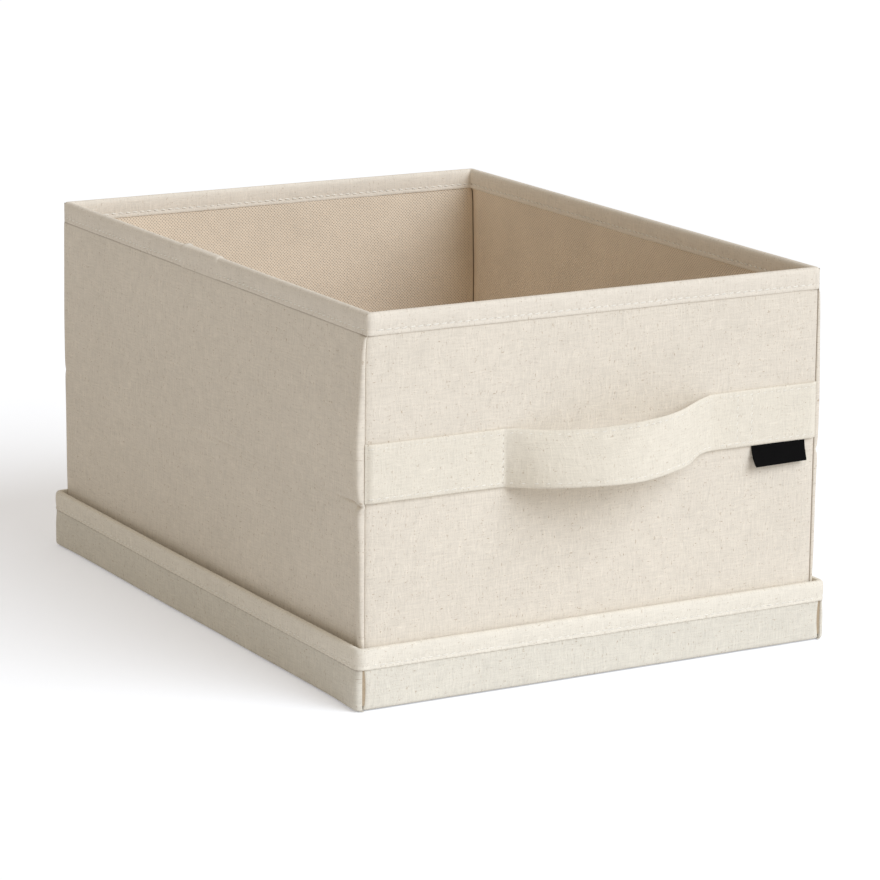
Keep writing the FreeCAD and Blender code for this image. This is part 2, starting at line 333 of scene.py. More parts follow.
class Graph:
    """The nodes of one material or world."""

    def __init__(self, owner: Union[bpy.types.Material, bpy.types.World]) -> None:
        """Empties the nodes of a new material or world.

        Args:
            owner: The material or world.
        """
        self.owner = owner
        owner.use_nodes = True
        self.tree = owner.node_tree
        self.tree.nodes.clear()

    @classmethod
    def of(cls, name: str) -> "Graph":
        """Starts an empty material."""
        return cls(bpy.data.materials.new(name))

    def node(
        self, kind: str, settings: dict[str, Any], sockets: dict[Union[int, str], Any],
    ) -> bpy.types.Node:
        """Adds one node.

        Args:
            kind: The node's type.
            settings: Its own settings, made first.
            sockets: What goes into its inputs, by index or name.

        Returns:
            The node.
        """
        made = self.tree.nodes.new(kind)
        for key, value in settings.items():
            setattr(made, key, value)
        for key, value in sockets.items():
            if isinstance(value, (Value, bpy.types.NodeSocket)):
                source = value.socket if isinstance(value, Value) else value
                self.tree.links.new(source, made.inputs[key])
            else:
                made.inputs[key].default_value = value
        return made

    def flat(self) -> tuple[Value, Value]:
        """Reads the surface's place on its flat cloth, in millimetres.

        Returns:
            Its place along and across the cloth.
        """
        cloth = self.node("ShaderNodeUVMap", {"uv_map": "cloth"}, {})
        split = self.node("ShaderNodeSeparateXYZ", {}, {0: cloth.outputs[0]})
        return Value(self, split.outputs[0]) * 1000, Value(self, split.outputs[1]) * 1000

    def solid(self) -> tuple[Value, Value, Value]:
        """Reads the surface's place in space, in millimetres.

        Returns:
            Its x, y and z.
        """
        place = self.node("ShaderNodeTexCoord", {}, {})
        split = self.node("ShaderNodeSeparateXYZ", {}, {0: place.outputs["Object"]})
        return tuple(Value(self, split.outputs[k]) * 1000 for k in range(3))

    def stored(self, name: str) -> Value:
        """A number kept at each point of the mesh."""
        return Value(self, self.node("ShaderNodeAttribute", {"attribute_name": name}, {}).outputs["Fac"])

    def cloud(self, x: Number, y: Number, z: Number, detail: float = 2.0) -> Value:
        """Noise between 0 and 1 at a place.

        Args:
            x: First coordinate, in cells of noise.
            y: Second coordinate.
            z: Third coordinate.
            detail: How many finer layers it has.

        Returns:
            The noise.
        """
        place = self.node("ShaderNodeCombineXYZ", {}, {0: x, 1: y, 2: z})
        sockets = {"Vector": place.outputs[0], "Scale": 1.0, "Detail": detail}
        return Value(self, self.node("ShaderNodeTexNoise", {}, sockets).outputs[0])

    def scaled(self, colour: Any, share: Value) -> bpy.types.NodeSocket:
        """A colour made lighter or darker."""
        made = self.node("ShaderNodeVectorMath", {"operation": "SCALE"}, {0: colour, "Scale": share})
        return made.outputs[0]

    def mixed(self, share: Value, first: Any, second: Any) -> bpy.types.NodeSocket:
        """Goes from one colour to another."""
        made = self.node("ShaderNodeMix", {"data_type": "RGBA"}, {0: share, 6: first, 7: second})
        return made.outputs[2]

    def finish(
        self, colour: Any, height: Value, depth: float, roughness: float, sheen: float,
        specular: float = 0.12,
    ) -> bpy.types.Material:
        """Ends the graph in a surface.

        Args:
            colour: Its colour.
            height: Its relief, where 1 is the full depth.
            depth: The relief's full depth, in millimetres.
            roughness: Its roughness.
            sheen: How much fuzz catches the light.
            specular: How strongly it reflects.

        Returns:
            The material.
        """
        bump = self.node("ShaderNodeBump", {}, {"Height": height, "Distance": depth * MM, "Strength": 1.0})
        surface = self.node(
            "ShaderNodeBsdfPrincipled", {},
            {"Base Color": colour, "Roughness": roughness, "Normal": bump.outputs[0], "Sheen Weight": sheen,
             "Specular IOR Level": specular},
        )
        self.node("ShaderNodeOutputMaterial", {}, {0: surface.outputs[0]})
        return self.owner


@dataclass(frozen=True)
class Linen:
    """Woven cloth of uneven threads, with brown flecks, painted shade in its seams and grooves and, on tapes
    and straps, rows of needle holes with painted shade in them.

    The cloth's own coordinates are millimetres, u along a wall and v up it. Each needle row has its place
    across the cloth and how dark the painted shade in its holes is.
    """

    name: str
    tint: Colour
    streak: float = 0.2
    blotch: float = 0.5
    flecks: float = 0.64
    thread: float = 0.62
    depth: float = 0.13
    roughness: float = 0.93
    sheen: float = 0.08
    seed: float = 0.0
    seed_step: float = 41
    fleck_tint: Colour = (0.40, 0.285, 0.175)
    painted_seam_shade: Colour = (0.27, 0.205, 0.15)
    hole_shade_tint: Colour = (0.17, 0.12, 0.085)
    hole_reach: tuple[float, float] = (0.42, 0.05)
    needle_rows: tuple[tuple[float, float], ...] = ()
    needle_pitch: float = 4.5
    upright: bool = False

    def holes(self, u: Value, v: Value) -> Optional[Value]:
        """Painted shade in the needle holes along the sewn rows, as dark as each row says.

        Args:
            u: Place along the cloth.
            v: Place across it.

        Returns:
            The holes, or None where nothing is sewn.
        """
        if not self.needle_rows:
            return None
        across, along = (u, v) if self.upright else (v, u)
        near = along.from_nearest(self.needle_pitch)
        found = None
        for row, dark in self.needle_rows:
            offset = (across - row).size()
            spot = (near * near + offset * offset).eased(*self.hole_reach) * dark
            found = spot if found is None else found.top(spot)
        return found

    def material(self) -> bpy.types.Material:
        """Makes the woven material.

        Returns:
            The material.
        """
        g = Graph.of(self.name)
        u, v = g.flat()
        shift = self.seed * self.seed_step
        u = u + shift
        drift = g.cloud(u * 0.09, v * 0.09, 3.1, 1.0) - 0.5
        across, up = u + drift * 3.4, v + drift * 3.0
        weft = g.cloud(across * 0.10, up * 1.05, 5.0, 2.0) - 0.5
        warp = g.cloud(across * 1.05, up * 0.11, 9.0, 2.0) - 0.5
        long_weft = g.cloud(across * 0.13, up * 0.85, 15.0, 1.0)
        long_warp = g.cloud(across * 0.9, up * 0.12, 19.0, 1.0)
        thick = long_weft.eased(0.64, 0.74) + long_warp.eased(0.60, 0.71)
        thin = long_weft.eased(0.33, 0.22) + long_warp.eased(0.40, 0.28)
        grain = g.cloud(u * 1.7, v * 1.7, 21.0, 1.0) - 0.5
        tone = g.cloud(u * 0.021, v * 0.027, 27.0, 3.0) - 0.5
        cloudy = g.cloud(u * 0.12, v * 0.12, 33.0, 2.0) - 0.5
        over = (across.wave(self.thread) * up.wave(self.thread)) * 0.5 + 0.5
        light = (
            1.0 + (weft + warp) * self.streak + grain * 0.16 + tone * 0.2 * self.blotch
            + cloudy * 0.2 * self.blotch + thick * 0.055 - thin * 0.05 + (over - 0.5) * 0.02
        )
        dash = g.cloud(across * 0.38, up * 1.25, 41.0, 2.0).eased(0.64, 0.73)
        tick = g.cloud(across * 1.2, up * 0.36, 47.0, 2.0).eased(0.63, 0.73)
        speck = g.cloud(across * 0.8, up * 0.8, 53.0, 1.0).eased(0.70, 0.78)
        faint = g.cloud(across * 0.33, up * 0.33, 59.0, 1.0).eased(0.3, 0.62)
        colour = g.scaled((*self.tint,), light)
        colour = g.mixed(dash.top(tick).top(speck) * faint * self.flecks, colour, (*self.fleck_tint, 1.0))
        # Painted shade in seams and grooves: the colour darkens where the stored clearness is low.
        seam = (1.0 - g.stored("clear")).eased(0.0, 1.0)
        colour = g.mixed(seam, colour, (*self.painted_seam_shade, 1.0))
        height = over * 0.2 + (weft + warp) * 0.6 + thick * 0.4
        # Painted shade in the needle holes; the relief dips there too.
        holes = self.holes(u - shift, v)
        if holes is not None:
            colour = g.mixed(holes, colour, (*self.hole_shade_tint, 1.0))
            height = height - holes * 2.0
        return g.finish(colour, height, self.depth, self.roughness, self.sheen)


@dataclass(frozen=True)
class Lining:
    """Inner cloth pressed with a diagonal lattice of small dots, with painted shade next to its seams."""

    name: str
    tint: Colour
    pitch: float = 1.36
    dots: float = 0.36
    dot_reach: tuple[float, float] = (0.2, 0.03)
    depth: float = 0.2
    roughness: float = 0.9
    sheen: float = 0.04
    painted_seam_shade: Colour = (0.17, 0.115, 0.07)

    def material(self) -> bpy.types.Material:
        """Makes the dotted material.

        Returns:
            The material.
        """
        g = Graph.of(self.name)
        u, v = g.flat()
        rising, falling = (u + v) * DIAGONAL, (u - v) * DIAGONAL
        step = self.pitch * DIAGONAL * 2 * DIAGONAL
        first, second = rising.from_nearest(step), falling.from_nearest(step)
        clear = g.stored("clear")
        dot = (first * first + second * second).eased(*self.dot_reach) * clear.eased(0.3, 1.0)
        fibre = g.cloud(u * 1.5, v * 1.3, 4.0, 3.0) - 0.5
        tone = g.cloud(u * 0.028, v * 0.024, 8.0, 3.0) - 0.5
        lump = g.cloud(u * 0.2, v * 0.2, 12.0, 2.0) - 0.5
        light = 1.0 + fibre * 0.2 + tone * 0.24 + lump * 0.09 - dot * self.dots
        height = fibre * 0.5 - dot * 0.8 + lump * 0.6
        # Painted shade next to the seams, where the stored clearness is low.
        colour = g.mixed(clear.eased(0.22, 0.0), g.scaled((*self.tint,), light), (*self.painted_seam_shade, 1.0))
        return g.finish(colour, height, self.depth, self.roughness, self.sheen)


@dataclass(frozen=True)
class Thread:
    """Sewing thread, a little uneven along its length."""

    name: str
    tint: Colour
    twist: float = 0.55
    depth: float = 0.08
    roughness: float = 0.7
    sheen: float = 0.1

    def material(self) -> bpy.types.Material:
        """Makes the thread's material.

        Returns:
            The material.
        """
        g = Graph.of(self.name)
        x, y, z = g.solid()
        twist = (x + y * 0.8 + z * 1.2).wave(self.twist) * 0.5 + 0.5
        tone = g.cloud(x * 0.3, y * 0.3, z * 0.3, 2.0) - 0.5
        light = 0.96 + twist * 0.08 + tone * 0.3
        return g.finish(g.scaled((*self.tint,), light), twist, self.depth, self.roughness, self.sheen)


@dataclass(frozen=True)
class Paperboard:
    """Grey-brown stiffener board with short fibres."""

    name: str
    tint: Colour
    depth: float = 0.15
    roughness: float = 0.92
    sheen: float = 0.0

    def material(self) -> bpy.types.Material:
        """Makes the board's material.

        Returns:
            The material.
        """
        g = Graph.of(self.name)
        x, y, z = g.solid()
        fibre = g.cloud(x * 0.9, y * 0.9, z * 0.9, 4.0) - 0.5
        fleck = g.cloud(x * 1.9, y * 1.9, z * 1.9, 1.0).eased(0.68, 0.76)
        tone = g.cloud(x * 0.03, y * 0.03, z * 0.03, 2.0) - 0.5
        light = 1.0 + fibre * 0.35 + tone * 0.2 - fleck * 0.25
        return g.finish(g.scaled((*self.tint,), light), fibre, self.depth, self.roughness, self.sheen)


@dataclass(frozen=True)
class Ribbon:
    """Black woven ribbon with fine ribs across it."""

    name: str
    tint: Colour
    rib: float = 0.5
    weft: float = 0.34
    depth: float = 0.1
    roughness: float = 0.9
    sheen: float = 0.0
    specular: float = 0.05

    def material(self) -> bpy.types.Material:
        """Makes the ribbon's material.

        Returns:
            The material.
        """
        g = Graph.of(self.name)
        u, v = g.flat()
        rib = u.wave(self.rib) * 0.5 + 0.5
        cross = v.wave(self.weft) * 0.5 + 0.5
        lint = g.cloud(u * 2.2, v * 2.2, 5.0, 2.0).eased(0.66, 0.74)
        tone = g.cloud(u * 0.12, v * 0.12, 9.0, 2.0) - 0.5
        light = 0.8 + rib * 0.25 + cross * 0.12 + tone * 0.5 + lint * 0.9
        height = rib * 0.7 + cross * 0.3
        colour = g.scaled((*self.tint,), light)
        return g.finish(colour, height, self.depth, self.roughness, self.sheen, self.specular)


class Wardrobe:
    """Makes each finish once and hands it to the pieces that wear it."""

    PANEL = Linen("outer_linen", (0.80, 0.74, 0.652), seed=1)
    FLAP = Linen("lid_linen", (0.78, 0.747, 0.67), seed=2)
    RIM_TAPE = Linen(
        "rim_tape_linen", (0.83, 0.772, 0.688), streak=0.15, flecks=0.5, seed=3,
        needle_rows=((3.23, 0.16), (23.93, 0.7)),
    )
    LID_TAPE = Linen(
        "lid_tape_linen", (0.87, 0.826, 0.74), streak=0.15, flecks=0.5, seed=4,
        needle_rows=((2.6, 0.12), (22.57, 0.3)),
    )
    STRAP = Linen(
        "strap_linen", (0.835, 0.785, 0.69), streak=0.16, flecks=0.5, seed=5,
        needle_rows=((-58.0, 0.3), (84.0, 0.14), (93.0, 0.12)), needle_pitch=4.1, upright=True,
    )
    LINING = Lining("lining_cloth", (0.85, 0.735, 0.60))
    THREAD = Thread("sewing_thread", (0.97, 0.94, 0.87))
    BOARD = Paperboard("paperboard", (0.45, 0.36, 0.26))
    TAG = Ribbon("tag_ribbon", (0.0045, 0.0043, 0.0045))

    def __init__(self) -> None:
        """Starts with nothing made."""
        self.made: dict[Any, bpy.types.Material] = {}

    def dress(self, piece: bpy.types.Object, finish: Any) -> None:
        """Gives a piece its finish.

        Args:
            piece: The piece.
            finish: One of the finishes.
        """
        if finish not in self.made:
            self.made[finish] = finish.material()
        piece.data.materials.clear()
        piece.data.materials.append(self.made[finish])


class Bench:
    """Makes and finishes meshes with operators."""

    def __init__(self, wardrobe: Wardrobe) -> None:
        """Sets out the bench.

        Args:
            wardrobe: Where finishes come from.
        """
        self.wardrobe = wardrobe
        self.cuts: dict[str, tuple[float, float, float]] = {}

    @staticmethod
    def pick(piece: bpy.types.Object) -> None:
        """Selects one piece and nothing else.

        Args:
            piece: The piece.
        """
        bpy.ops.object.select_all(action="DESELECT")
        piece.select_set(True)
        bpy.context.view_layer.objects.active = piece

    @staticmethod
    def merge() -> None:
        """Joins the points of the selected piece that lie on each other."""
        bpy.ops.object.mode_set(mode="EDIT")
        bpy.ops.mesh.select_all(action="SELECT")
        bpy.ops.mesh.remove_doubles(threshold=MERGE_DISTANCE)
        bpy.ops.object.mode_set(mode="OBJECT")

    def cloth(
        self, name: str, columns: int, rows: int, place: Callable[[int, int], Knot], turned: bool = False,
        thickness: float = Gauge.CLOTH, closed: bool = False, angle: float = 50.0,
    ) -> bpy.types.Object:
        """Makes a sheet from a grid, moved point by point to its place, and gives it its thickness.

        Args:
            name: The piece's name.
            columns: Faces from left to right, seen from its outer face.
            rows: Faces from bottom to top.
            place: Gives the point for a column and a row.
            turned: Whether place counts its columns from the right.
            thickness: The cloth's thickness, inwards, in millimetres.
            closed: Whether the first and last columns meet.
            angle: Edges sharper than this stay sharp.

        Returns:
            The piece.
        """
        bpy.ops.object.select_all(action="DESELECT")
        bpy.ops.mesh.primitive_grid_add(x_subdivisions=columns, y_subdivisions=rows, size=2, calc_uvs=False)
        piece = bpy.context.object
        piece.name = piece.data.name = name
        mesh = piece.data
        flat = mesh.uv_layers.new(name="cloth")
        clear = mesh.attributes.new("clear", "FLOAT", "POINT")
        knots = []
        for point in mesh.vertices:
            i, j = round((point.co.x + 1) / 2 * columns), round((point.co.y + 1) / 2 * rows)
            knot = place(columns - i if turned else i, j)
            knots.append(knot)
            clear.data[point.index].value = knot.clear
            point.co = Vector(knot[:3]) * MM
        for loop in mesh.loops:
            flat.data[loop.index].uv = (knots[loop.vertex_index].u * MM, knots[loop.vertex_index].v * MM)
        self.cuts[name] = self.cut_of(mesh, knots, columns, rows)
        self.pick(piece)
        if closed:
            self.merge()
        if thickness:
            wall = piece.modifiers.new("thickness", "SOLIDIFY")
            wall.thickness, wall.offset = thickness * MM, -1
            bpy.ops.object.modifier_apply(modifier=wall.name)
        bpy.ops.object.shade_smooth_by_angle(angle=math.radians(angle))
        return piece

    @staticmethod
    def cut_of(
        mesh: bpy.types.Mesh, knots: Sequence[Knot], columns: int, rows: int,
    ) -> tuple[float, float, float]:
        """Measures a sheet before it has its thickness.

        Args:
            mesh: Its grid.
            knots: The grid's points, row after row.
            columns: Faces from left to right.
            rows: Faces from bottom to top.

        Returns:
            Its longest row, its longest column and its area, in metres.
        """
        wide = columns + 1

        def run(steps: Sequence[Knot]) -> float:
            """Length of a line of points, in metres."""
            return sum(math.dist(a[:3], b[:3]) for a, b in zip(steps, steps[1:])) * MM

        across = max(run(knots[j * wide:(j + 1) * wide]) for j in range(rows + 1))
        up = max(run(knots[i::wide]) for i in range(wide))
        return across, up, sum(face.area for face in mesh.polygons)

    def declare(self, piece: bpy.types.Object, held: str, rests_on: Sequence[str]) -> bpy.types.Object:
        """Logs the size that a piece of cloth is cut to.

        Args:
            piece: The piece.
            held: Not used.
            rests_on: Not used.

        Returns:
            The piece.
        """
        across, up, area = self.cuts[piece.name]
        min(area, across * up)
        log.info("%s: cut %.0f x %.0f mm", piece.name, across * 1000, up * 1000)
        return piece

    def slab(
        self, name: str, low: Vector, high: Vector, corner: float, edge: float, angle: float = 40.0,
    ) -> bpy.types.Object:
        """Makes a flat slab with rounded corners and edges, from a cube.

        Args:
            name: The piece's name.
            low: Its lowest corner, in millimetres.
            high: Its highest corner.
            corner: Radius of its upright edges.
            edge: Radius of its level edges.
            angle: Edges sharper than this stay sharp.

        Returns:
            The piece.
        """
        bpy.ops.object.select_all(action="DESELECT")
        bpy.ops.mesh.primitive_cube_add(size=1, location=(low + high) / 2 * MM, scale=(high - low) * MM)
        piece = bpy.context.object
        piece.name = piece.data.name = name
        bpy.ops.object.transform_apply(location=True, rotation=True, scale=True)
        bpy.ops.object.mode_set(mode="EDIT")
        bpy.ops.mesh.select_mode(type="EDGE")
        for upright, radius in ((True, corner), (False, edge)):
            bpy.ops.mesh.select_all(action="DESELECT")
            bpy.ops.object.mode_set(mode="OBJECT")
            for bar in piece.data.edges:
                first, second = [piece.data.vertices[k].co.z for k in bar.vertices]
                rise, height = abs(first - second), (high.z - low.z) * MM
                bar.select = rise > 0.4 * height if upright else rise < 0.0001 * MM
            bpy.ops.object.mode_set(mode="EDIT")
            bpy.ops.mesh.bevel(offset=radius * MM, segments=3, affect="EDGES")
        bpy.ops.object.mode_set(mode="OBJECT")
        self.unwrap(piece)
        bpy.ops.object.shade_smooth_by_angle(angle=math.radians(angle))
        return piece

    @staticmethod
    def unwrap(piece: bpy.types.Object) -> None:
        """Lays each face flat on the plane that it is nearest to.

        Args:
            piece: The piece.
        """
        mesh = piece.data
        flat = mesh.uv_layers.new(name="cloth")
        clear = mesh.attributes.new("clear", "FLOAT", "POINT")
        for item in clear.data:
            item.value = 1.0
        for face in mesh.polygons:
            axis = max(range(3), key=lambda k: abs(face.normal[k]))
            for index in face.loop_indices:
                place = mesh.vertices[mesh.loops[index].vertex_index].co
                flat.data[index].uv = [place[k] for k in range(3) if k != axis]

    def sewn(
        self, name: str, spots: Sequence[Frame], slot: str, body: str, length: float = 3.3,
        width: float = 0.85, height: float = 0.6,
    ) -> bpy.types.Object:
        """Makes one stitch, copies it along a row, and joins the row.

        Args:
            name: The row's name.
            spots: Place, way along and way out of each stitch, in millimetres.
            slot: Not used.
            body: The body that the row rides on.
            length: A stitch's length.
            width: Its width.
            height: Its thickness.

        Returns:
            The row as one piece.
        """
        bpy.ops.object.select_all(action="DESELECT")
        bpy.ops.mesh.primitive_uv_sphere_add(
            segments=6, ring_count=6, radius=0.5, rotation=(0, math.radians(90), 0),
        )
        first = bpy.context.object
        bpy.ops.object.transform_apply(location=True, rotation=True, scale=True)
        bpy.ops.object.mode_set(mode="EDIT")
        bpy.ops.mesh.select_all(action="SELECT")
        bpy.ops.transform.resize(value=(length * MM, width * MM, height * MM))
        bpy.ops.object.mode_set(mode="OBJECT")
        bpy.ops.object.shade_smooth()
        row = []
        for place, along, out in spots:
            stitch = first.copy()
            stitch.data = first.data.copy()
            side = out.cross(along).normalized()
            turn = Matrix((along.normalized(), side, out.normalized())).transposed().to_4x4()
            stitch.data.transform(Matrix.Translation(place * MM) @ turn)
            bpy.context.scene.collection.objects.link(stitch)
            row.append(stitch)
        bpy.data.objects.remove(first)
        bpy.ops.object.select_all(action="DESELECT")
        for stitch in row:
            stitch.select_set(True)
        bpy.context.view_layer.objects.active = row[0]
        bpy.ops.object.join()
        piece = bpy.context.object
        piece.name = piece.data.name = name
        self.wardrobe.dress(piece, Wardrobe.THREAD)
        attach(piece, body)
        log.info("%s: %d stitches", name, len(spots))
        return piece

    def hand_over(
        self, piece: bpy.types.Object, finish: Any, slot: str, nodes: Sequence[str],
        body: Optional[str] = None,
    ) -> bpy.types.Object:
        """Dresses a piece, hides the frame's parts that it stands for, and hangs it on its body if it has
        one.

        Returns:
            The piece.
        """
        self.wardrobe.dress(piece, finish)
        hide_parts(*nodes)
        if body:
            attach(piece, body)
        log.info("%s: %d faces", piece.name, len(piece.data.polygons))
        return piece


@dataclass(frozen=True)
class HemShape:
    """One corner's sewn hem: how full it is, and how far the end of the cloth in front of it comes out."""

    fullness: float
    seam_out: float
    seam_in: float = -0.3
    seam_full_at: float = 3.6
    edge: float = 2.0
    setback: float = 0.2
    heights: tuple[tuple[float, float], ...] = (
        (7.0, 2.0), (33.0, 3.0), (45.0, 3.9), (60.0, 4.2), (80.0, 4.3), (92.0, 4.8), (99.0, 5.1),
        (102.5, 4.5), (104.0, 3.2), (104.8, 2.7), (105.6, 3.2), (107.4, 4.6), (112.0, 5.5), (125.0, 5.9),
        (140.0, 5.8), (155.0, 4.8), (168.0, 3.9), (180.0, 3.2), (188.0, 2.5), (190.4, 1.6), (191.4, 0.4),
        (191.8, 0.15),
    )

    def stand(self, z: float) -> float:
        """How far the hem stands out at a level, held under the tape, at the crease and inside the lid."""
        return self.fullness * follow(self.heights, z)

    def seam(self, z: float) -> float:
        """How far out the end of the front or back cloth is at a level."""
        return lerp(self.seam_in, self.seam_out, min(1.0, follow(self.heights, z) / self.seam_full_at))


@dataclass(frozen=True)
class BoxPlan:
    """Sizes of the box's body, in millimetres, and how its cloths lie."""

    half_x: float = 135.0
    half_y: float = 182.5
    panel_half: float = 134.7
    wall: float = 3.0
    foot: float = 7.0
    lower_top: float = 104.2
    crease: float = 104.8
    crease_depth: float = 0.16
    crease_width: float = 0.75
    upper_foot: float = 105.4
    top: float = 202.6
    tape_foot: float = 191.7
    groove_below: float = 0.35
    groove_width: float = 0.45
    margin: float = 22.0
    keep: float = 0.235
    slack_more: float = 0.8
    slack_most: float = 4.2
    lower_levels: tuple[float, ...] = (
        7.0, 8.5, 11.0, 15.0, 20.0, 26.0, 32.0, 34.0, 36.5, 40.0, 46.0, 52.0, 58.0, 64.0, 70.0, 76.0, 82.0,
        88.0, 93.0, 97.0, 99.5, 101.3, 102.5, 103.4, 104.0, 104.4,
    )
    groove_levels: tuple[float, ...] = (190.5, 191.0, 191.4, 191.8, 192.3)
    hems: tuple[tuple[str, HemShape], ...] = (
        ("front_left", HemShape(1.0, 1.2)),
        ("front_right", HemShape(0.58, 0.0)),
        ("back_left", HemShape(0.24, 0.2)),
        ("back_right", HemShape(0.38, 0.3)),
    )

    def hem(self, label: str) -> HemShape:
        """The hem of one corner."""
        return dict(self.hems)[label]

    def end(self, side: Side, way: int, z: float) -> float:
        """Half length of a front or back cloth towards its right or left end, at a level.

        Args:
            side: The front or back wall.
            way: 1 for its right end, -1 for its left.
            z: Height.

        Returns:
            The half length.
        """
        right = way if side is Side.FRONT else -way
        label = f"{side.label}_{'right' if right > 0 else 'left'}"
        return self.half_x + self.hem(label).seam(z)

    def spare(self, label: str, z: float) -> float:
        """How far the lining gives outwards at one upright corner, at a level."""
        full = min(self.slack_most, self.hem(label).stand(z) + self.slack_more)
        return full * smooth(self.tape_foot + 6, self.tape_foot - 3, z) * smooth(self.foot, self.foot + 20, z)

    def plane(self, side: Side) -> float:
        """Distance of a wall's outer face from the middle."""
        return self.half_x if side.long else self.half_y

    def fold(self, z: float) -> float:
        """Where the 45 degree fold line crosses a level of a side wall, from its middle."""
        return self.half_y - self.margin - max(0.0, min(z - self.foot, self.top - z))

    def levels(self) -> list[float]:
        """Heights of the rows of points that all the cloths share."""
        upper = [2 * self.crease - z for z in self.lower_levels]
        return sorted([*self.lower_levels, self.crease, *upper, *self.groove_levels])

    def shade(self, side: Side, z: float) -> float:
        """Clearness of the outer cloth at a level: painted shade in the groove under the tape."""
        dim = 0.5 if side.long else 0.2
        return 1 - dim * bell(z, self.tape_foot - self.groove_below, self.groove_width)

    def relief(self, side: Side, s: float, z: float) -> float:
        """How far the outer cloth stands off its board.

        Args:
            side: The wall.
            s: Place along it.
            z: Height.

        Returns:
            The distance out from the wall's plane.
        """
        held = smooth(self.foot, self.foot + 16, z) * smooth(self.top, self.top - 26, z)
        loose = (0.42 + 0.5 * wander(s, z, side.seed)) * held
        depth = self.crease_depth
        if side is Side.LEFT:
            near_hem = 0.5 * smooth(150, 158, s) * smooth(178, 172, s)
            middle = 0.18 * smooth(-30, -16, s) * smooth(46, 36, s)
            depth += near_hem + middle
        if side is Side.RIGHT:
            depth += 0.25 * smooth(-150, -160, s)
        return max(0.02, loose) - depth * bell(z, self.crease, self.crease_width)

    def lining_free(self, z: float) -> float:
        """How free a lining is at a level: 0 at the floor and the rim, 1 between."""
        return smooth(self.foot, self.foot + 14, z) * smooth(self.top, self.top - 16, z)

    def lining_swell(self, side: Side, s: float, z: float) -> float:
        """How far a lining swells inwards at a place."""
        return 0.3 + 0.42 * wander(s, z, side.seed + 60)

    def crumple(self, piece: bpy.types.Object) -> bpy.types.Object:
        """Gives a corner piece a mesh of its own.

        Args:
            piece: The piece.

        Returns:
            The piece.
        """
        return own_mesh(piece)


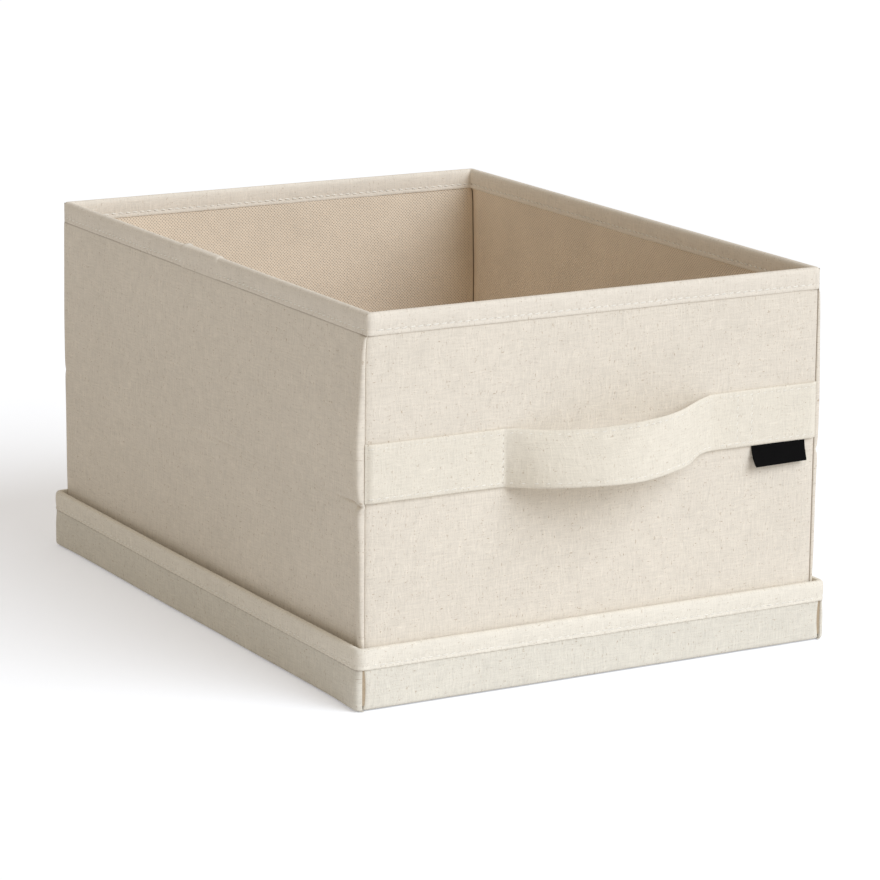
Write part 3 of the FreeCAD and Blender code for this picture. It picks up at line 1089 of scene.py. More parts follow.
@dataclass
class WallCloths:
    """Outer cloth, board and inner cloth of the four folding walls."""

    bench: Bench
    plan: BoxPlan = field(default_factory=BoxPlan)
    board: float = 2.0
    board_play: float = 0.4
    bend: float = 0.7
    inner_bend: float = 3.0
    side_columns: int = 44
    rolled_end: tuple[tuple[float, float], ...] = (
        (0.0, -2.7), (0.0, -1.5), (0.14, -1.0), (0.45, -0.68), (1.0, -0.45), (1.9, -0.26), (3.4, -0.1),
        (5.6, 0.0),
    )

    def fold_between(
        self, piece: bpy.types.Object, side: Side, plane: float, bend: float,
    ) -> bpy.types.Object:
        """Bakes a cloth's place into its mesh; the band at its crease, between the wall's lower and upper
        board, is worked out but not used.

        Args:
            piece: The cloth.
            side: Its wall.
            plane: Distance of the cloth from the box's middle.
            bend: Half height of the band that bends.

        Returns:
            The piece.
        """
        _, out = side.vectors()
        at = out * plane * MM
        at + Vector((0, 0, (self.plan.crease - bend) * MM))
        at + Vector((0, 0, (self.plan.crease + bend) * MM))
        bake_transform(piece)
        return piece

    def cover(self, side: Side) -> bpy.types.Object:
        """Makes a wall's outer cloth, foot to rim.

        Args:
            side: The wall.

        Returns:
            The piece.
        """
        plan, levels = self.plan, self.plan.levels()
        plane = plan.plane(side)
        if side.long:
            columns = self.side_columns

            def place(i: int, j: int) -> Knot:
                """A point of the hexagonal side cloth.

                Args:
                    i: Its column.
                    j: Its row.

                Returns:
                    The point.
                """
                z = levels[j]
                s = lerp(-1, 1, i / columns) * plan.fold(z)
                return side.spot(s, z, plane + plan.relief(side, s, z), clear=plan.shade(side, z))
        else:
            ends = self.rolled_end
            inner = spread(-1, 1, 38)[1:-1]
            columns = 2 * len(ends) + len(inner) - 1

            def place(i: int, j: int) -> Knot:
                """A point of the front or back cloth.

                Args:
                    i: Its column.
                    j: Its row.

                Returns:
                    The point.
                """
                z = levels[j]
                low, high = plan.end(side, -1, z), plan.end(side, 1, z)
                near = min(i, columns - i)
                back, d = ends[min(near, len(ends) - 1)]
                if near < len(ends):
                    s = high - back if i > near else back - low
                else:
                    share = (inner[i - len(ends)] + 1) / 2
                    s = lerp(ends[-1][0] - low, high - ends[-1][0], share)
                edge = smooth(1, 14, min(high - s, s + low))
                out = d + plan.relief(side, s, z) * edge
                # Painted shade where the cloth rolls into the corner seam, and in the groove under the tape.
                clear = smooth(-2.4, -0.3, d) * (1 - 0.10 * smooth(-0.001, -0.3, d)) * plan.shade(side, z)
                return side.spot(s, z, plane + out, u=s + math.copysign(max(0.0, -d - 0.9), s), clear=clear)

        piece = self.bench.cloth(f"{side.label}_wall_cover", columns, len(levels) - 1, place)
        nodes = [f"{side.label}_cover_lower", f"{side.label}_cover_upper"]
        self.bench.hand_over(piece, Wardrobe.PANEL, "outer_linen", nodes)
        self.bench.declare(piece, "stretched", [f"{side.label}_board_lower", f"{side.label}_board_upper"])
        return self.fold_between(piece, side, plane, self.bend)

    def lining(self, side: Side) -> bpy.types.Object:
        """Makes a wall's inner cloth, floor to rim.

        Args:
            side: The wall.

        Returns:
            The piece.
        """
        plan, levels = self.plan, self.plan.levels()
        plane = plan.plane(side) - plan.wall
        if side.long:
            shares = spread(-1, 1, self.side_columns)
        else:
            shares = [-1, -0.994, -0.986, *spread(-0.97, 0.97, 42), 0.986, 0.994, 1]
        columns = len(shares) - 1

        def place(i: int, j: int) -> Knot:
            """A point of the inner cloth.

            Args:
                i: Its column.
                j: Its row.

            Returns:
                The point.
            """
            z = levels[j]
            share = shares[i]
            reach = plan.fold(z) if side.long else plan.half_x - plan.wall - 0.1
            if not side.long:
                way = 1 if (share > 0) == (side is Side.FRONT) else -1
                reach += plan.spare(f"{side.label}_{'right' if way > 0 else 'left'}", z)
            s = share * reach
            soft, clear = plan.lining_swell(side, s, z), 1.0
            if not side.long:
                end = reach - abs(s)
                soft *= smooth(reach, reach - 10, abs(s))
                # Low clearness at the lining's ends: the dots fade, and next to the seam the cloth takes
                # painted shade.
                clear = 0.3 * smooth(0.1, 0.9, end) + 0.7 * smooth(0.5, 4, end)
            return side.spot(s, z, plane - max(0.02, soft) * plan.lining_free(z), u=-s, clear=clear)

        piece = self.bench.cloth(f"{side.label}_wall_lining", columns, len(levels) - 1, place, turned=True)
        nodes = [f"{side.label}_lining_lower", f"{side.label}_lining_upper"]
        self.bench.hand_over(piece, Wardrobe.LINING, "lining_cloth", nodes)
        self.bench.declare(piece, "stretched", [f"{side.label}_board_lower", f"{side.label}_board_upper"])
        return self.fold_between(piece, side, plane, self.inner_bend)

    def stiffener(self, side: Side, upper: bool) -> bpy.types.Object:
        """Makes one board of a wall.

        Args:
            side: The wall.
            upper: Whether it is the board above the crease.

        Returns:
            The board.
        """
        plan, steps = self.plan, 8
        part = "upper" if upper else "lower"
        low, high = plan.foot + 0.2, plan.lower_top
        if upper:
            low, high = plan.upper_foot, plan.top - self.board_play
        plane = plan.plane(side) - Gauge.CLOTH

        def place(i: int, j: int) -> Knot:
            """A point of the board's outer face.

            Args:
                i: Its column.
                j: Its row.

            Returns:
                The point.
            """
            z = lerp(low, high, j / steps)
            reach = plan.fold(z) - self.board_play if side.long else plan.panel_half - 1.2
            s = lerp(-1, 1, i / steps) * reach
            return side.spot(s, z, plane - 0.12)

        name, node = f"{side.label}_board_{part}_stiffener", f"{side.label}_board_{part}"
        piece = self.bench.cloth(name, steps, steps, place, thickness=self.board - 0.2, angle=30)
        return self.bench.hand_over(piece, Wardrobe.BOARD, "paperboard", [node], f"{side.label}_{part}")

    def build(self) -> None:
        """Makes every wall."""
        for side in Side:
            self.cover(side)
            self.lining(side)
            for upper in (False, True):
                self.stiffener(side, upper)


@dataclass
class CornerGussets:
    """Soft cloth at the four corners, which crumples when the walls fold."""

    bench: Bench
    plan: BoxPlan = field(default_factory=BoxPlan)
    flat_columns: int = 16
    hem_reach: float = 11.2
    hem_lip: float = 0.03
    nose_most: float = 1.9
    dent_width: float = 0.5
    # Depth of each corner's crease dent, which also sets the painted shade along it.
    crease_dents: tuple[tuple[str, float], ...] = (
        ("front_left", 0.5), ("front_right", 0.3), ("back_left", 0.2), ("back_right", 0.2),
    )
    # Depth, distance from the corner and clearness of the inner seam's points; low clearness gives painted
    # shade in the seam.
    inner_seam: tuple[tuple[float, float, float], ...] = (
        (2.3, 3.1, 0.0), (2.7, 3.15, 0.0), (3.05, 3.5, 0.08), (3.25, 4.1, 0.3), (3.25, 5.0, 0.35),
        (3.15, 6.5, 0.4), (3.1, 9.0, 0.5), (3.08, 12.0, 0.7), (3.06, 16.0, 0.9), (3.04, 20.0, 1.0),
    )

    def hem(self, stand: float, seam: float, setback: float, edge: float) -> list[tuple[float, float, float]]:
        """Plan of the hem at one level.

        Args:
            stand: How far it stands out.
            seam: How far out the end of the front or back cloth is.
            setback: How far its front is behind the wall's face.
            edge: Length of its straight edge.

        Returns:
            Distance out, distance in from the corner and clearness, from the seam to the side wall.
        """
        nose = min((stand - seam) * 0.55, self.nose_most)
        front, end = setback + self.hem_lip, stand * 0.97
        # Low clearness in the first rows paints shade into the seam.
        rows = [
            (seam - 0.28, 3.2, 0.0), (seam - 0.2, 1.5, 0.1), (seam - 0.06, 0.75, 0.5),
            (seam + 0.12, 0.36, 0.85), (lerp(seam, stand - nose, 0.45), setback, 1.0),
            (stand - nose, front, 1.0),
        ]
        for angle in (22.5, 45.0, 67.5, 90.0):
            t = math.radians(angle)
            rows.append((stand - nose + nose * math.sin(t), front + nose * (1 - math.cos(t)), 1.0))
        start = front + nose + edge
        rows += [(stand, start - edge / 2, 1.0), (end, start, 1.0)]
        for share in (0.2, 0.4, 0.6, 0.8, 1.0):
            rows.append((end * (1 - smooth(0, 1, share)), lerp(start, self.hem_reach, share), 1.0))
        return rows

    def outer(self, corner: Corner) -> bpy.types.Object:
        """Makes a corner's outer cloth with its hem.

        Args:
            corner: The corner.

        Returns:
            The piece.
        """
        plan, levels = self.plan, self.plan.levels()
        shape, dent = plan.hem(corner.label), dict(self.crease_dents)[corner.label]
        hems = [self.hem(shape.stand(z), shape.seam(z), shape.setback, shape.edge) for z in levels]
        count = len(hems[0])
        columns = count - 1 + self.flat_columns

        def place(i: int, j: int) -> Knot:
            """A point of the corner's cloth, counted from its fold line to the seam.

            Args:
                i: Its column.
                j: Its row.

            Returns:
                The point.
            """
            z, k = levels[j], columns - i
            if k < count:
                out, back, clear = hems[j][k]
            else:
                share = (k - count + 1) / self.flat_columns
                out, back, clear = 0.0, lerp(self.hem_reach, plan.half_y - plan.fold(z), share), 1.0
            s = corner.along(plan.half_y - back)
            near = smooth(1.2, 3.0, back) * smooth(27, 8, back)
            line = bell(z, plan.crease, self.dent_width) * near
            out += plan.relief(corner.side, s, z) * smooth(3.0, self.hem_reach + 6, back) - dent * line
            u = s + math.copysign(max(0.0, out - 0.3) * 0.5, s)
            # Painted shade along the crease dent and in the groove under the tape.
            clear *= plan.shade(corner.side, z) * (1 - 0.6 * dent * line)
            return corner.side.spot(s, z, plan.half_x + out, u=u, clear=clear)

        name, node = f"gusset_{corner.label}_outer", f"corner_gusset_{corner.label}"
        piece = self.bench.cloth(name, columns, len(levels) - 1, place, turned=corner.turned)
        self.bench.hand_over(piece, Wardrobe.PANEL, "outer_linen", [node], "base")
        self.bench.declare(piece, "stretched", [f"{corner.side.label}_wall_cover"])
        return plan.crumple(piece)

    def inner(self, corner: Corner) -> bpy.types.Object:
        """Makes a corner's inner cloth, which follows the hem outwards, pressed flat beside its seam.

        Args:
            corner: The corner.

        Returns:
            The piece.
        """
        plan, levels, seam = self.plan, self.plan.levels(), self.inner_seam
        columns = len(seam) - 1 + self.flat_columns

        def place(i: int, j: int) -> Knot:
            """A point of the inner cloth, counted from its seam to the fold line.

            Args:
                i: Its column.
                j: Its row.

            Returns:
                The point.
            """
            z = levels[j]
            if i < len(seam):
                depth, back, clear = seam[i]
            else:
                share = (i - len(seam) + 1) / self.flat_columns
                depth, back, clear = plan.wall, lerp(seam[-1][1], plan.half_y - plan.fold(z), share), 1.0
            s = corner.along(plan.half_y - back)
            soft = max(0.02, plan.lining_swell(corner.side, s, z)) * plan.lining_free(z) * smooth(5, 20, back)
            spare = plan.spare(corner.label, z) * smooth(12, 3, back)
            return corner.side.spot(s, z, plan.half_x - depth - soft + spare, u=-s, clear=clear)

        name, node = f"gusset_{corner.label}_inner", f"corner_gusset_{corner.label}"
        piece = self.bench.cloth(name, columns, len(levels) - 1, place, turned=corner.turned)
        self.bench.hand_over(piece, Wardrobe.LINING, "lining_cloth", [node], "base")
        self.bench.declare(piece, "stretched", [f"{corner.side.label}_wall_lining"])
        return plan.crumple(piece)

    def build(self) -> None:
        """Makes every corner."""
        for corner in CORNERS:
            self.outer(corner)
            self.inner(corner)


@dataclass
class RimTape:
    """Tape sewn over the box's rim: four straight runs, the lap of its ends, and four corners."""

    bench: Bench
    plan: BoxPlan = field(default_factory=BoxPlan)
    corner_radius: float = 2.0
    stub_end: float = 131.45
    pitch: float = 4.5
    lap: tuple[float, float] = (-25.0, 16.0)
    ridge: float = -1.5
    sewn_at: float = 194.3
    sewn_depths: tuple[float, float] = (0.56, -3.56)
    row_level: float = 195.0
    profile: tuple[tuple[float, float], ...] = (
        (0.06, 191.9), (0.5, 191.65), (0.72, 192.0), (0.74, 192.9), (0.6, 193.7), (0.54, 194.3),
        (0.62, 194.9), (0.8, 196.0), (0.86, 198.6), (0.8, 200.8), (0.5, 202.2), (-0.3, 203.05),
        (-1.5, 203.3), (-2.7, 203.05), (-3.5, 202.2), (-3.8, 200.8), (-3.86, 198.6), (-3.8, 196.0),
        (-3.62, 194.9), (-3.54, 194.3), (-3.6, 193.7), (-3.72, 192.9), (-3.72, 192.0), (-3.5, 191.65),
        (-3.06, 191.9),
    )

    def sway(self, side: Side, s: float, d: float, z: float) -> float:
        """Unevenness of the tape's surface, which the stitches hold in.

        Args:
            side: The wall.
            s: Place along it.
            d: Distance out from its face.
            z: Height.

        Returns:
            The distance that the surface moves out.
        """
        held = bell(z, self.sewn_at, 1.6)
        lift = 0.15 * wander(s * 1.6, d * 9, side.seed + 31) + 0.09 * held * scallop(s, self.pitch)
        return lift if d > self.ridge else -lift

    def foot_shade(self, side: Side, j: int) -> float:
        """Clearness of the tape at a profile point: painted shade under its outer foot."""
        dim = (0.3, 0.55) if side.long else (0.7, 0.85)
        return dim[j] if j < 2 else 1.0

    def straight(self, side: Side) -> bpy.types.Object:
        """Makes the tape of one wall.

        Args:
            side: The wall.

        Returns:
            The piece.
        """
        plan, run = self.plan, unrolled(self.profile)
        columns = 204 if side.long else 176

        def place(i: int, j: int) -> Knot:
            """A point of the tape, from its outer foot over the rim to its inner foot.

            Args:
                i: Its column.
                j: Its row.

            Returns:
                The point.
            """
            d, z = self.profile[j]
            reach = plan.fold(min(z, plan.top)) if side.long else self.stub_end
            s = lerp(-1, 1, i / columns) * reach
            d += self.sway(side, s, d, z) * smooth(reach + 1, reach - 12, abs(s))
            if z < 193:
                z += 0.14 * wander(s * 3, 0, side.seed + 77) - 0.07 * scallop(s, self.pitch)
            return side.spot(s, z, plan.plane(side) + d, v=run[j], clear=self.foot_shade(side, j))

        name, node, rows = f"rim_tape_{side.label}", f"rim_binding_{side.label}", len(self.profile) - 1
        piece = self.bench.cloth(name, columns, rows, place, thickness=Gauge.TAPE)
        self.bench.hand_over(piece, Wardrobe.RIM_TAPE, "binding_tape", [node], f"{side.label}_upper")
        return self.bench.declare(piece, "folded", [f"{side.label}_board_upper"])

    def lapped(self) -> bpy.types.Object:
        """Makes the lap where the tape's two ends meet on the left wall.

        Returns:
            The lap.
        """
        side, plan, run = Side.LEFT, self.plan, unrolled(self.profile)
        low, high = self.lap
        folded_end, plain_end = (-0.4, -0.1, 0.5, 1.6, 3.2), (-0.6, 0.0, 0.3)
        steps = [
            *[low + step for step in folded_end], *spread(low + 4.7, high - 3, 20),
            *[high + step for step in plain_end],
        ]
        rise = [0.0, 0.6, 1.15, 1.1, 0.75] + [0.6] * (len(steps) - 8) + [0.45, 0.22, 0.02]

        def place(i: int, j: int) -> Knot:
            """A point of the lap.

            Args:
                i: Its column.
                j: Its row.

            Returns:
                The point.
            """
            d, z = self.profile[j + 1]
            s = steps[i]
            extra = rise[i] if j > 0 else rise[i] * 0.6
            outward = 1 if d > self.ridge else -1
            d += self.sway(side, s, d, z)
            if z > 202:
                z += extra
            return side.spot(s, z, plan.plane(side) + d + outward * extra, v=run[j + 1])

        columns, rows = len(steps) - 1, len(self.profile) - 3
        piece = self.bench.cloth("rim_tape_left_lap", columns, rows, place, thickness=Gauge.TAPE)
        self.bench.hand_over(piece, Wardrobe.RIM_TAPE, "binding_tape", ["rim_binding_left"], "left_upper")
        return self.bench.declare(piece, "folded", ["rim_tape_left"])

    def turn(self, corner: Corner) -> bpy.types.Object:
        """Makes the tape round one corner.

        Args:
            corner: The corner.

        Returns:
            The piece.
        """
        plan, run = self.plan, unrolled(self.profile)
        straight, arc = 10, 6
        columns = straight + arc + 1

        def place(i: int, j: int) -> Knot:
            """A point of the tape, from the side wall's fold line round to the front or back.

            Args:
                i: Its column.
                j: Its row.

            Returns:
                The point.
            """
            d, z = self.profile[j]
            radius = max(self.corner_radius + d, 0.25)
            centre_out, centre_back = d - radius, radius - d
            far = plan.half_y - plan.fold(min(z, plan.top))
            if i <= straight:
                out, back = d, lerp(far, centre_back, i / straight)
            elif i <= straight + arc:
                angle = math.radians(90 * (i - straight) / arc)
                out, back = centre_out + radius * math.cos(angle), centre_back - radius * math.sin(angle)
            else:
                out, back = min(self.stub_end - plan.half_x, centre_out), -d
            s = corner.along(plan.half_y - back)
            out += self.sway(corner.side, s, d, z) * smooth(0.5, 3, back)
            u = s - math.copysign(min(0.0, out), s) if i > straight else s
            shade = self.foot_shade(corner.side if i <= straight + 2 else Side.FRONT, j)
            return corner.side.spot(s, z, plan.half_x + out, u=u, v=run[j], clear=shade)

        name, rows = f"rim_tape_{corner.label}", len(self.profile) - 1
        piece = self.bench.cloth(name, columns, rows, place, turned=corner.turned, thickness=Gauge.TAPE)
        self.bench.hand_over(piece, Wardrobe.RIM_TAPE, "binding_tape", ["rim_binding_corners"], "base")
        self.bench.declare(piece, "folded", [f"gusset_{corner.label}_outer"])
        return plan.crumple(piece)

    def row(self, side: Side, low: float, high: float, inside: bool) -> list[Frame]:
        """Lists the stitches of one row.

        Args:
            side: The wall.
            low: Where the row starts along it.
            high: Where it ends.
            inside: Whether they are on the inner face.

        Returns:
            Place, way along and way out of each stitch.
        """
        right, out = side.vectors()
        depth = self.sewn_depths[inside]
        first = math.ceil(low / self.pitch - 0.5)
        last = math.floor(high / self.pitch - 0.5)
        spots = []
        for k in range(first, last + 1):
            s = (k + 0.5) * self.pitch
            tilt = 0.2 + 0.22 * noise.noise(Vector((s * 0.31, side.seed, 1.0)))
            centre = right * s + out * (self.plan.plane(side) + depth) + Vector((0, 0, self.sewn_at))
            spots.append((centre, right + Vector((0, 0, tilt)), -out if inside else out))
        return spots

    def stitches(self) -> None:
        """Sews every run and corner of the tape."""
        plan, gap = self.plan, 1.5
        fold = plan.fold(self.row_level)
        for side in Side:
            reach = fold - gap if side.long else self.stub_end - gap
            spots = self.row(side, -reach, reach, False) + self.row(side, -reach, reach, True)
            self.bench.sewn(f"rim_stitches_{side.label}", spots, "binding_tape", f"{side.label}_upper")
        for corner in CORNERS:
            outer = sorted([corner.along(fold + gap), corner.along(plan.half_y - 2.5)])
            inner = sorted([corner.along(fold + gap), corner.along(plan.half_y - 6.5)])
            spots = self.row(corner.side, *outer, False) + self.row(corner.side, *inner, True)
            plan.crumple(self.bench.sewn(f"rim_stitches_{corner.label}", spots, "binding_tape", "base"))

    def build(self) -> None:
        """Makes the tape and sews it on."""
        for side in Side:
            self.straight(side)
        self.lapped()
        for corner in CORNERS:
            self.turn(corner)
        self.stitches()


@dataclass
class BaseCloths:
    """Cloth round the box's base and the cloth of its floor."""

    bench: Bench
    plan: BoxPlan = field(default_factory=BoxPlan)
    bottom: float = 3.3
    top: float = 6.75
    tuck: float = 0.6
    corner_radius: float = 1.4
    edge_radius: float = 0.8
    pattern_at: float = 5000.0

    def build(self) -> None:
        """Makes the cloth round the base and the inner floor."""
        plan, columns, rows = self.plan, 26, 34
        low = Vector((-plan.half_x, -plan.half_y, self.bottom))
        high = Vector((plan.half_x, plan.half_y, self.top - 0.4))
        cover = self.bench.slab("base_wrap", low, high, self.corner_radius, self.edge_radius)
        self.bench.hand_over(cover, Wardrobe.PANEL, "outer_linen", ["base_cover", "base_board"], "base")
        half_x, half_y = plan.half_x - plan.wall + self.tuck, plan.half_y - plan.wall + self.tuck

        def place(i: int, j: int) -> Knot:
            """A point of the floor.

            Args:
                i: Its column.
                j: Its row.

            Returns:
                The point.
            """
            x, y = lerp(-half_x, half_x, i / columns), lerp(-half_y, half_y, j / rows)
            edge = smooth(half_x, half_x - 9, abs(x)) * smooth(half_y, half_y - 9, abs(y))
            rise = (0.35 + 0.35 * wander(x, y, 71.0)) * edge
            return Knot(x, y, self.top + rise, x + self.pattern_at, y)

        floor = self.bench.cloth("base_floor_cloth", columns, rows, place)
        self.bench.hand_over(floor, Wardrobe.LINING, "lining_cloth", ["base_lining"], "base")
        self.bench.declare(floor, "stretched", ["base_board"])


@dataclass
class Handle:
    """Strap sewn across the front wall, whose middle stands out as a grip loop."""

    bench: Bench
    plan: BoxPlan = field(default_factory=BoxPlan)
    height: float = 30.4
    thickness: float = 1.6
    left: float = -58.0
    right: float = 72.0
    middle: tuple[float, float] = (121.7, 126.7)
    pitch: float = 4.1
    edge_pitch: float = 4.3
    edge_row: float = 2.4
    stitch_sink: float = 0.24
    press_keep: float = 0.06
    angle: float = 60.0
    pattern_at: float = 60.0
    rows: tuple[float, ...] = (84.0, 93.0)
    top_edge: tuple[tuple[float, float], ...] = (
        (-58.0, 0.95), (-52.0, 2.4), (-45.0, 5.8), (-32.0, 13.0), (-12.0, 21.5), (8.0, 26.8), (22.0, 26.2),
        (35.0, 21.5), (48.0, 13.2), (58.0, 6.6), (66.0, 2.6), (72.0, 0.95),
    )
    bottom_edge: tuple[tuple[float, float], ...] = (
        (-58.0, 0.95), (-56.0, 1.7), (-54.2, 3.7), (-51.1, 7.4), (-47.7, 11.8), (-43.6, 17.0), (-37.0, 23.0),
        (-28.0, 28.4), (-19.0, 32.2), (-12.0, 34.2), (-4.0, 35.2), (3.4, 34.8), (11.7, 32.8), (22.5, 29.1),
        (30.0, 26.1), (37.3, 23.0), (43.7, 18.8), (51.7, 10.8), (58.9, 5.1), (66.0, 2.0), (72.0, 0.95),
    )

    def level(self, x: float) -> float:
        """Height of the strap's middle line.

        Args:
            x: Place along the wall.

        Returns:
            The height.
        """
        if x <= self.left:
            return self.middle[0]
        if x >= self.right:
            return self.middle[1]
        return lerp(*self.middle, smooth(self.left - 6, self.right + 6, x))

    def section(self) -> list[tuple[float, float]]:
        """Works out the strap's own cross-section.

        Returns:
            Places up and out, round from the lower outer edge.
        """
        half, deep = self.height / 2, self.thickness / 2
        face = [
            (-half + 1.0, deep), (-half + self.edge_row, deep * 0.92), (-half + 3.8, deep * 0.9),
            (-half * 0.5, deep * 0.88), (0.0, deep * 0.88), (half * 0.5, deep * 0.88),
            (half - 3.8, deep * 0.9), (half - self.edge_row, deep * 0.92), (half - 1.0, deep),
        ]
        cap = [(half - 0.3, deep * 0.7), (half, 0.0), (half - 0.3, -deep * 0.7)]
        back = [(w, -n) for w, n in reversed(face)]
        foot = [(-half + 0.3, -deep * 0.7), (-half, 0.0), (-half + 0.3, deep * 0.7)]
        ring = face + cap + back + foot
        return ring + ring[:1]

    def reach(self, x: float) -> float:
        """Where the strap ends in the seam, on the side of a place along the wall."""
        way = 1 if x > 0 else -1
        return self.plan.end(Side.FRONT, way, self.middle[max(0, way)]) + (0.3 if way < 0 else -0.2)

    def ribbon(
        self, name: str, stations: Sequence[float], frame_at: Callable[[float], Frame],
    ) -> bpy.types.Object:
        """Sweeps the strap's cross-section along a line.

        Args:
            name: The piece's name.
            stations: Places along the wall.
            frame_at: Gives the middle, the way up and the way out at a station.

        Returns:
            The piece, with closed ends.
        """
        ring = self.section()
        around = unrolled(ring)

        def place(i: int, j: int) -> Knot:
            """A point of the swept strap.

            Args:
                i: Its column.
                j: Its row.

            Returns:
                The point.
            """
            x = stations[i]
            centre, up, out = frame_at(x)
            w, n = ring[j]
            wave = 0.14 * wander(x * 1.7, w * 1.5, 55.0) * (1 if abs(n) > 0.5 else 0)
            hem = 0.1 * bell(self.height / 2 - abs(w), self.edge_row, 0.8) * (n > 0.5)
            point = centre + up * w + out * (n * self.nip(x) + wave - hem)
            # Painted shade: the strap darkens towards its ends in the seams and where the loop leaves the
            # wall at its left row.
            clear = smooth(-0.1, 0.9, self.reach(x) - abs(x)) * 0.3 + 0.7
            clear -= 0.16 * smooth(self.left, self.left + 1.5, x) * smooth(self.left + 20, self.left + 4, x)
            return Knot(point.x, point.y, point.z, x, around[j] + self.pattern_at, clear)

        columns, rows = len(stations) - 1, len(ring) - 1
        piece = self.bench.cloth(name, columns, rows, place, thickness=0.0, closed=True, angle=self.angle)
        bpy.ops.object.mode_set(mode="EDIT")
        bpy.ops.mesh.select_all(action="SELECT")
        bpy.ops.mesh.fill_holes(sides=len(ring) + 4)
        bpy.ops.object.mode_set(mode="OBJECT")
        bpy.ops.object.shade_smooth_by_angle(angle=math.radians(self.angle))
        return piece

    def flat_frame(self, x: float) -> Frame:
        """The strap where it lies on the wall.

        Args:
            x: Place along the wall.

        Returns:
            The strap's middle, its way up and its way out.
        """
        sink = 1.2 * (1 - smooth(0, 3.4, self.reach(x) - abs(x)))
        z = self.level(x)
        out = self.thickness / 2 + 0.12 + self.plan.relief(Side.FRONT, x, z) * 0.9 - sink
        return Vector((x, -self.plan.half_y - out, z)), Vector((0, 0, 1)), Vector((0, -1, 0))

    def loop_frame(self, x: float) -> Frame:
        """The strap where it stands out from the wall, leaning one way and then the other.

        Args:
            x: Place along the wall.

        Returns:
            The strap's middle, its way up and its way out.
        """
        ends = [Vector((at, -self.plan.half_y - follow(edge, at), 0.0))
                for at in (x - 0.4, x + 0.4) for edge in (self.top_edge, self.bottom_edge)]
        top, bottom = follow(self.top_edge, x), follow(self.bottom_edge, x)
        lean = (top - bottom) / 2
        up = Vector((0, -lean, math.sqrt((self.height / 2) ** 2 - lean * lean))).normalized()
        ahead = (ends[2] + ends[3] - ends[0] - ends[1]).normalized()
        out = ahead.cross(up).normalized()
        centre = Vector((x, -self.plan.half_y - (top + bottom) / 2, self.level(x)))
        flat = smooth(self.right - 10, self.right, x) + smooth(self.left + 3, self.left, x)
        if flat <= 0:
            return centre, up, out
        lying = self.flat_frame(x)
        return tuple(made.lerp(rest, flat) for made, rest in zip((centre, up, out), lying))

    def nip(self, x: float) -> float:
        """How thick the strap is at a place: thinner at its sewn rows and at its ends.

        Args:
            x: Place along the wall.

        Returns:
            The share of its full thickness.
        """
        share = 1.0
        for row, pull in ((self.left, 0.3), (self.rows[0], 0.12), (self.rows[1], 0.1)):
            share -= pull * bell(x, row, 1.1)
        return share * (0.35 + 0.65 * smooth(0, 3.0, self.reach(x) - abs(x)))

    def run(self, name: str, node: str, low: float, high: float) -> None:
        """Makes a run of the strap that lies on the wall.

        Args:
            name: The piece's name.
            node: The frame's node that it stands for.
            low: Where it starts along the wall.
            high: Where it ends.
        """
        end = self.reach(low + high)
        near_rows = {round(row + k, 3) for row in (self.left, *self.rows) for k in (-2.2, -1.1, 0, 1.1, 2.2)}
        near_end = {math.copysign(end - k, low + high) for k in (0.4, 0.9, 1.6, 2.6, 4.4)}
        marks = sorted({low, high, *near_rows, *near_end, *spread(low, high, 14)})
        stations = [x for x in marks if low <= x <= high]
        piece = self.ribbon(name, stations, self.flat_frame)
        self.bench.hand_over(piece, Wardrobe.STRAP, "strap_linen", [node], "front_upper")

    def loop(self) -> None:
        """Makes the loop."""
        start, end = self.left + 12, self.right - 12
        stations = sorted({
            *spread(self.left, start, 12), *spread(start, end, 40), *spread(end, self.right, 10),
        })
        piece = self.ribbon("handle_grip", stations, self.loop_frame)
        self.bench.hand_over(piece, Wardrobe.STRAP, "strap_linen", ["handle_loop"], "front_upper")
        self.press(piece)

    def press(self, piece: bpy.types.Object) -> None:
        """Gives a piece of the loop a mesh of its own."""
        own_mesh(piece)

    def seam(self, name: str, row: float) -> None:
        """Sews one upright row through the strap.

        Args:
            name: The row's name.
            row: Its place along the wall.
        """
        spots = []
        count = int((self.height - 2) / self.pitch)
        centre, _, out = self.flat_frame(row)
        for k in range(count):
            z = centre.z + (k - (count - 1) / 2) * self.pitch
            place = Vector((row, centre.y, z)) + out * (self.thickness / 2 * self.nip(row) - self.stitch_sink)
            spots.append((place, Vector((0.45, 0, 1)), out))
        self.bench.sewn(name, spots, "strap_linen", "front_upper", width=0.8)

    def edge_seams(
        self, name: str, low: float, high: float, frame_at: Callable[[float], Frame],
    ) -> bpy.types.Object:
        """Sews along both of the strap's edges.

        Args:
            name: The rows' name.
            low: Where they start along the wall.
            high: Where they end.
            frame_at: Gives the strap's middle, way up and way out at a place.

        Returns:
            The rows as one piece.
        """
        spots = []
        count = int((high - low) / self.edge_pitch)
        for k in range(count):
            x = low + (k + 0.5) * self.edge_pitch
            centre, up, out = frame_at(x)
            ahead = (frame_at(x + 0.5)[0] - frame_at(x - 0.5)[0]).normalized()
            for edge in (1, -1):
                w = edge * (self.height / 2 - self.edge_row)
                place = centre + up * w + out * (self.thickness / 2 * 0.9 - self.stitch_sink)
                spots.append((place, ahead + up * 0.12, out))
        return self.bench.sewn(name, spots, "strap_linen", "front_upper", length=2.9, width=0.75)

    def build(self) -> None:
        """Makes the strap's runs, its loop and its seams."""
        left, right = -self.reach(-1), self.reach(1)
        self.run("strap_left_run", "strap_left", left, self.left)
        self.run("strap_right_run", "strap_right", self.right, right)
        self.loop()
        self.seam("strap_seam_left", self.left)
        for number, row in enumerate(self.rows, 1):
            self.seam(f"strap_seam_right_{number}", row)
        self.edge_seams("strap_edge_seams_left", left + 0.6, self.left - 0.5, self.flat_frame)
        self.edge_seams("strap_edge_seams_right", self.right + 1, right - 0.6, self.flat_frame)
        self.press(self.edge_seams("handle_edge_seams", self.left + 2, self.right, self.loop_frame))


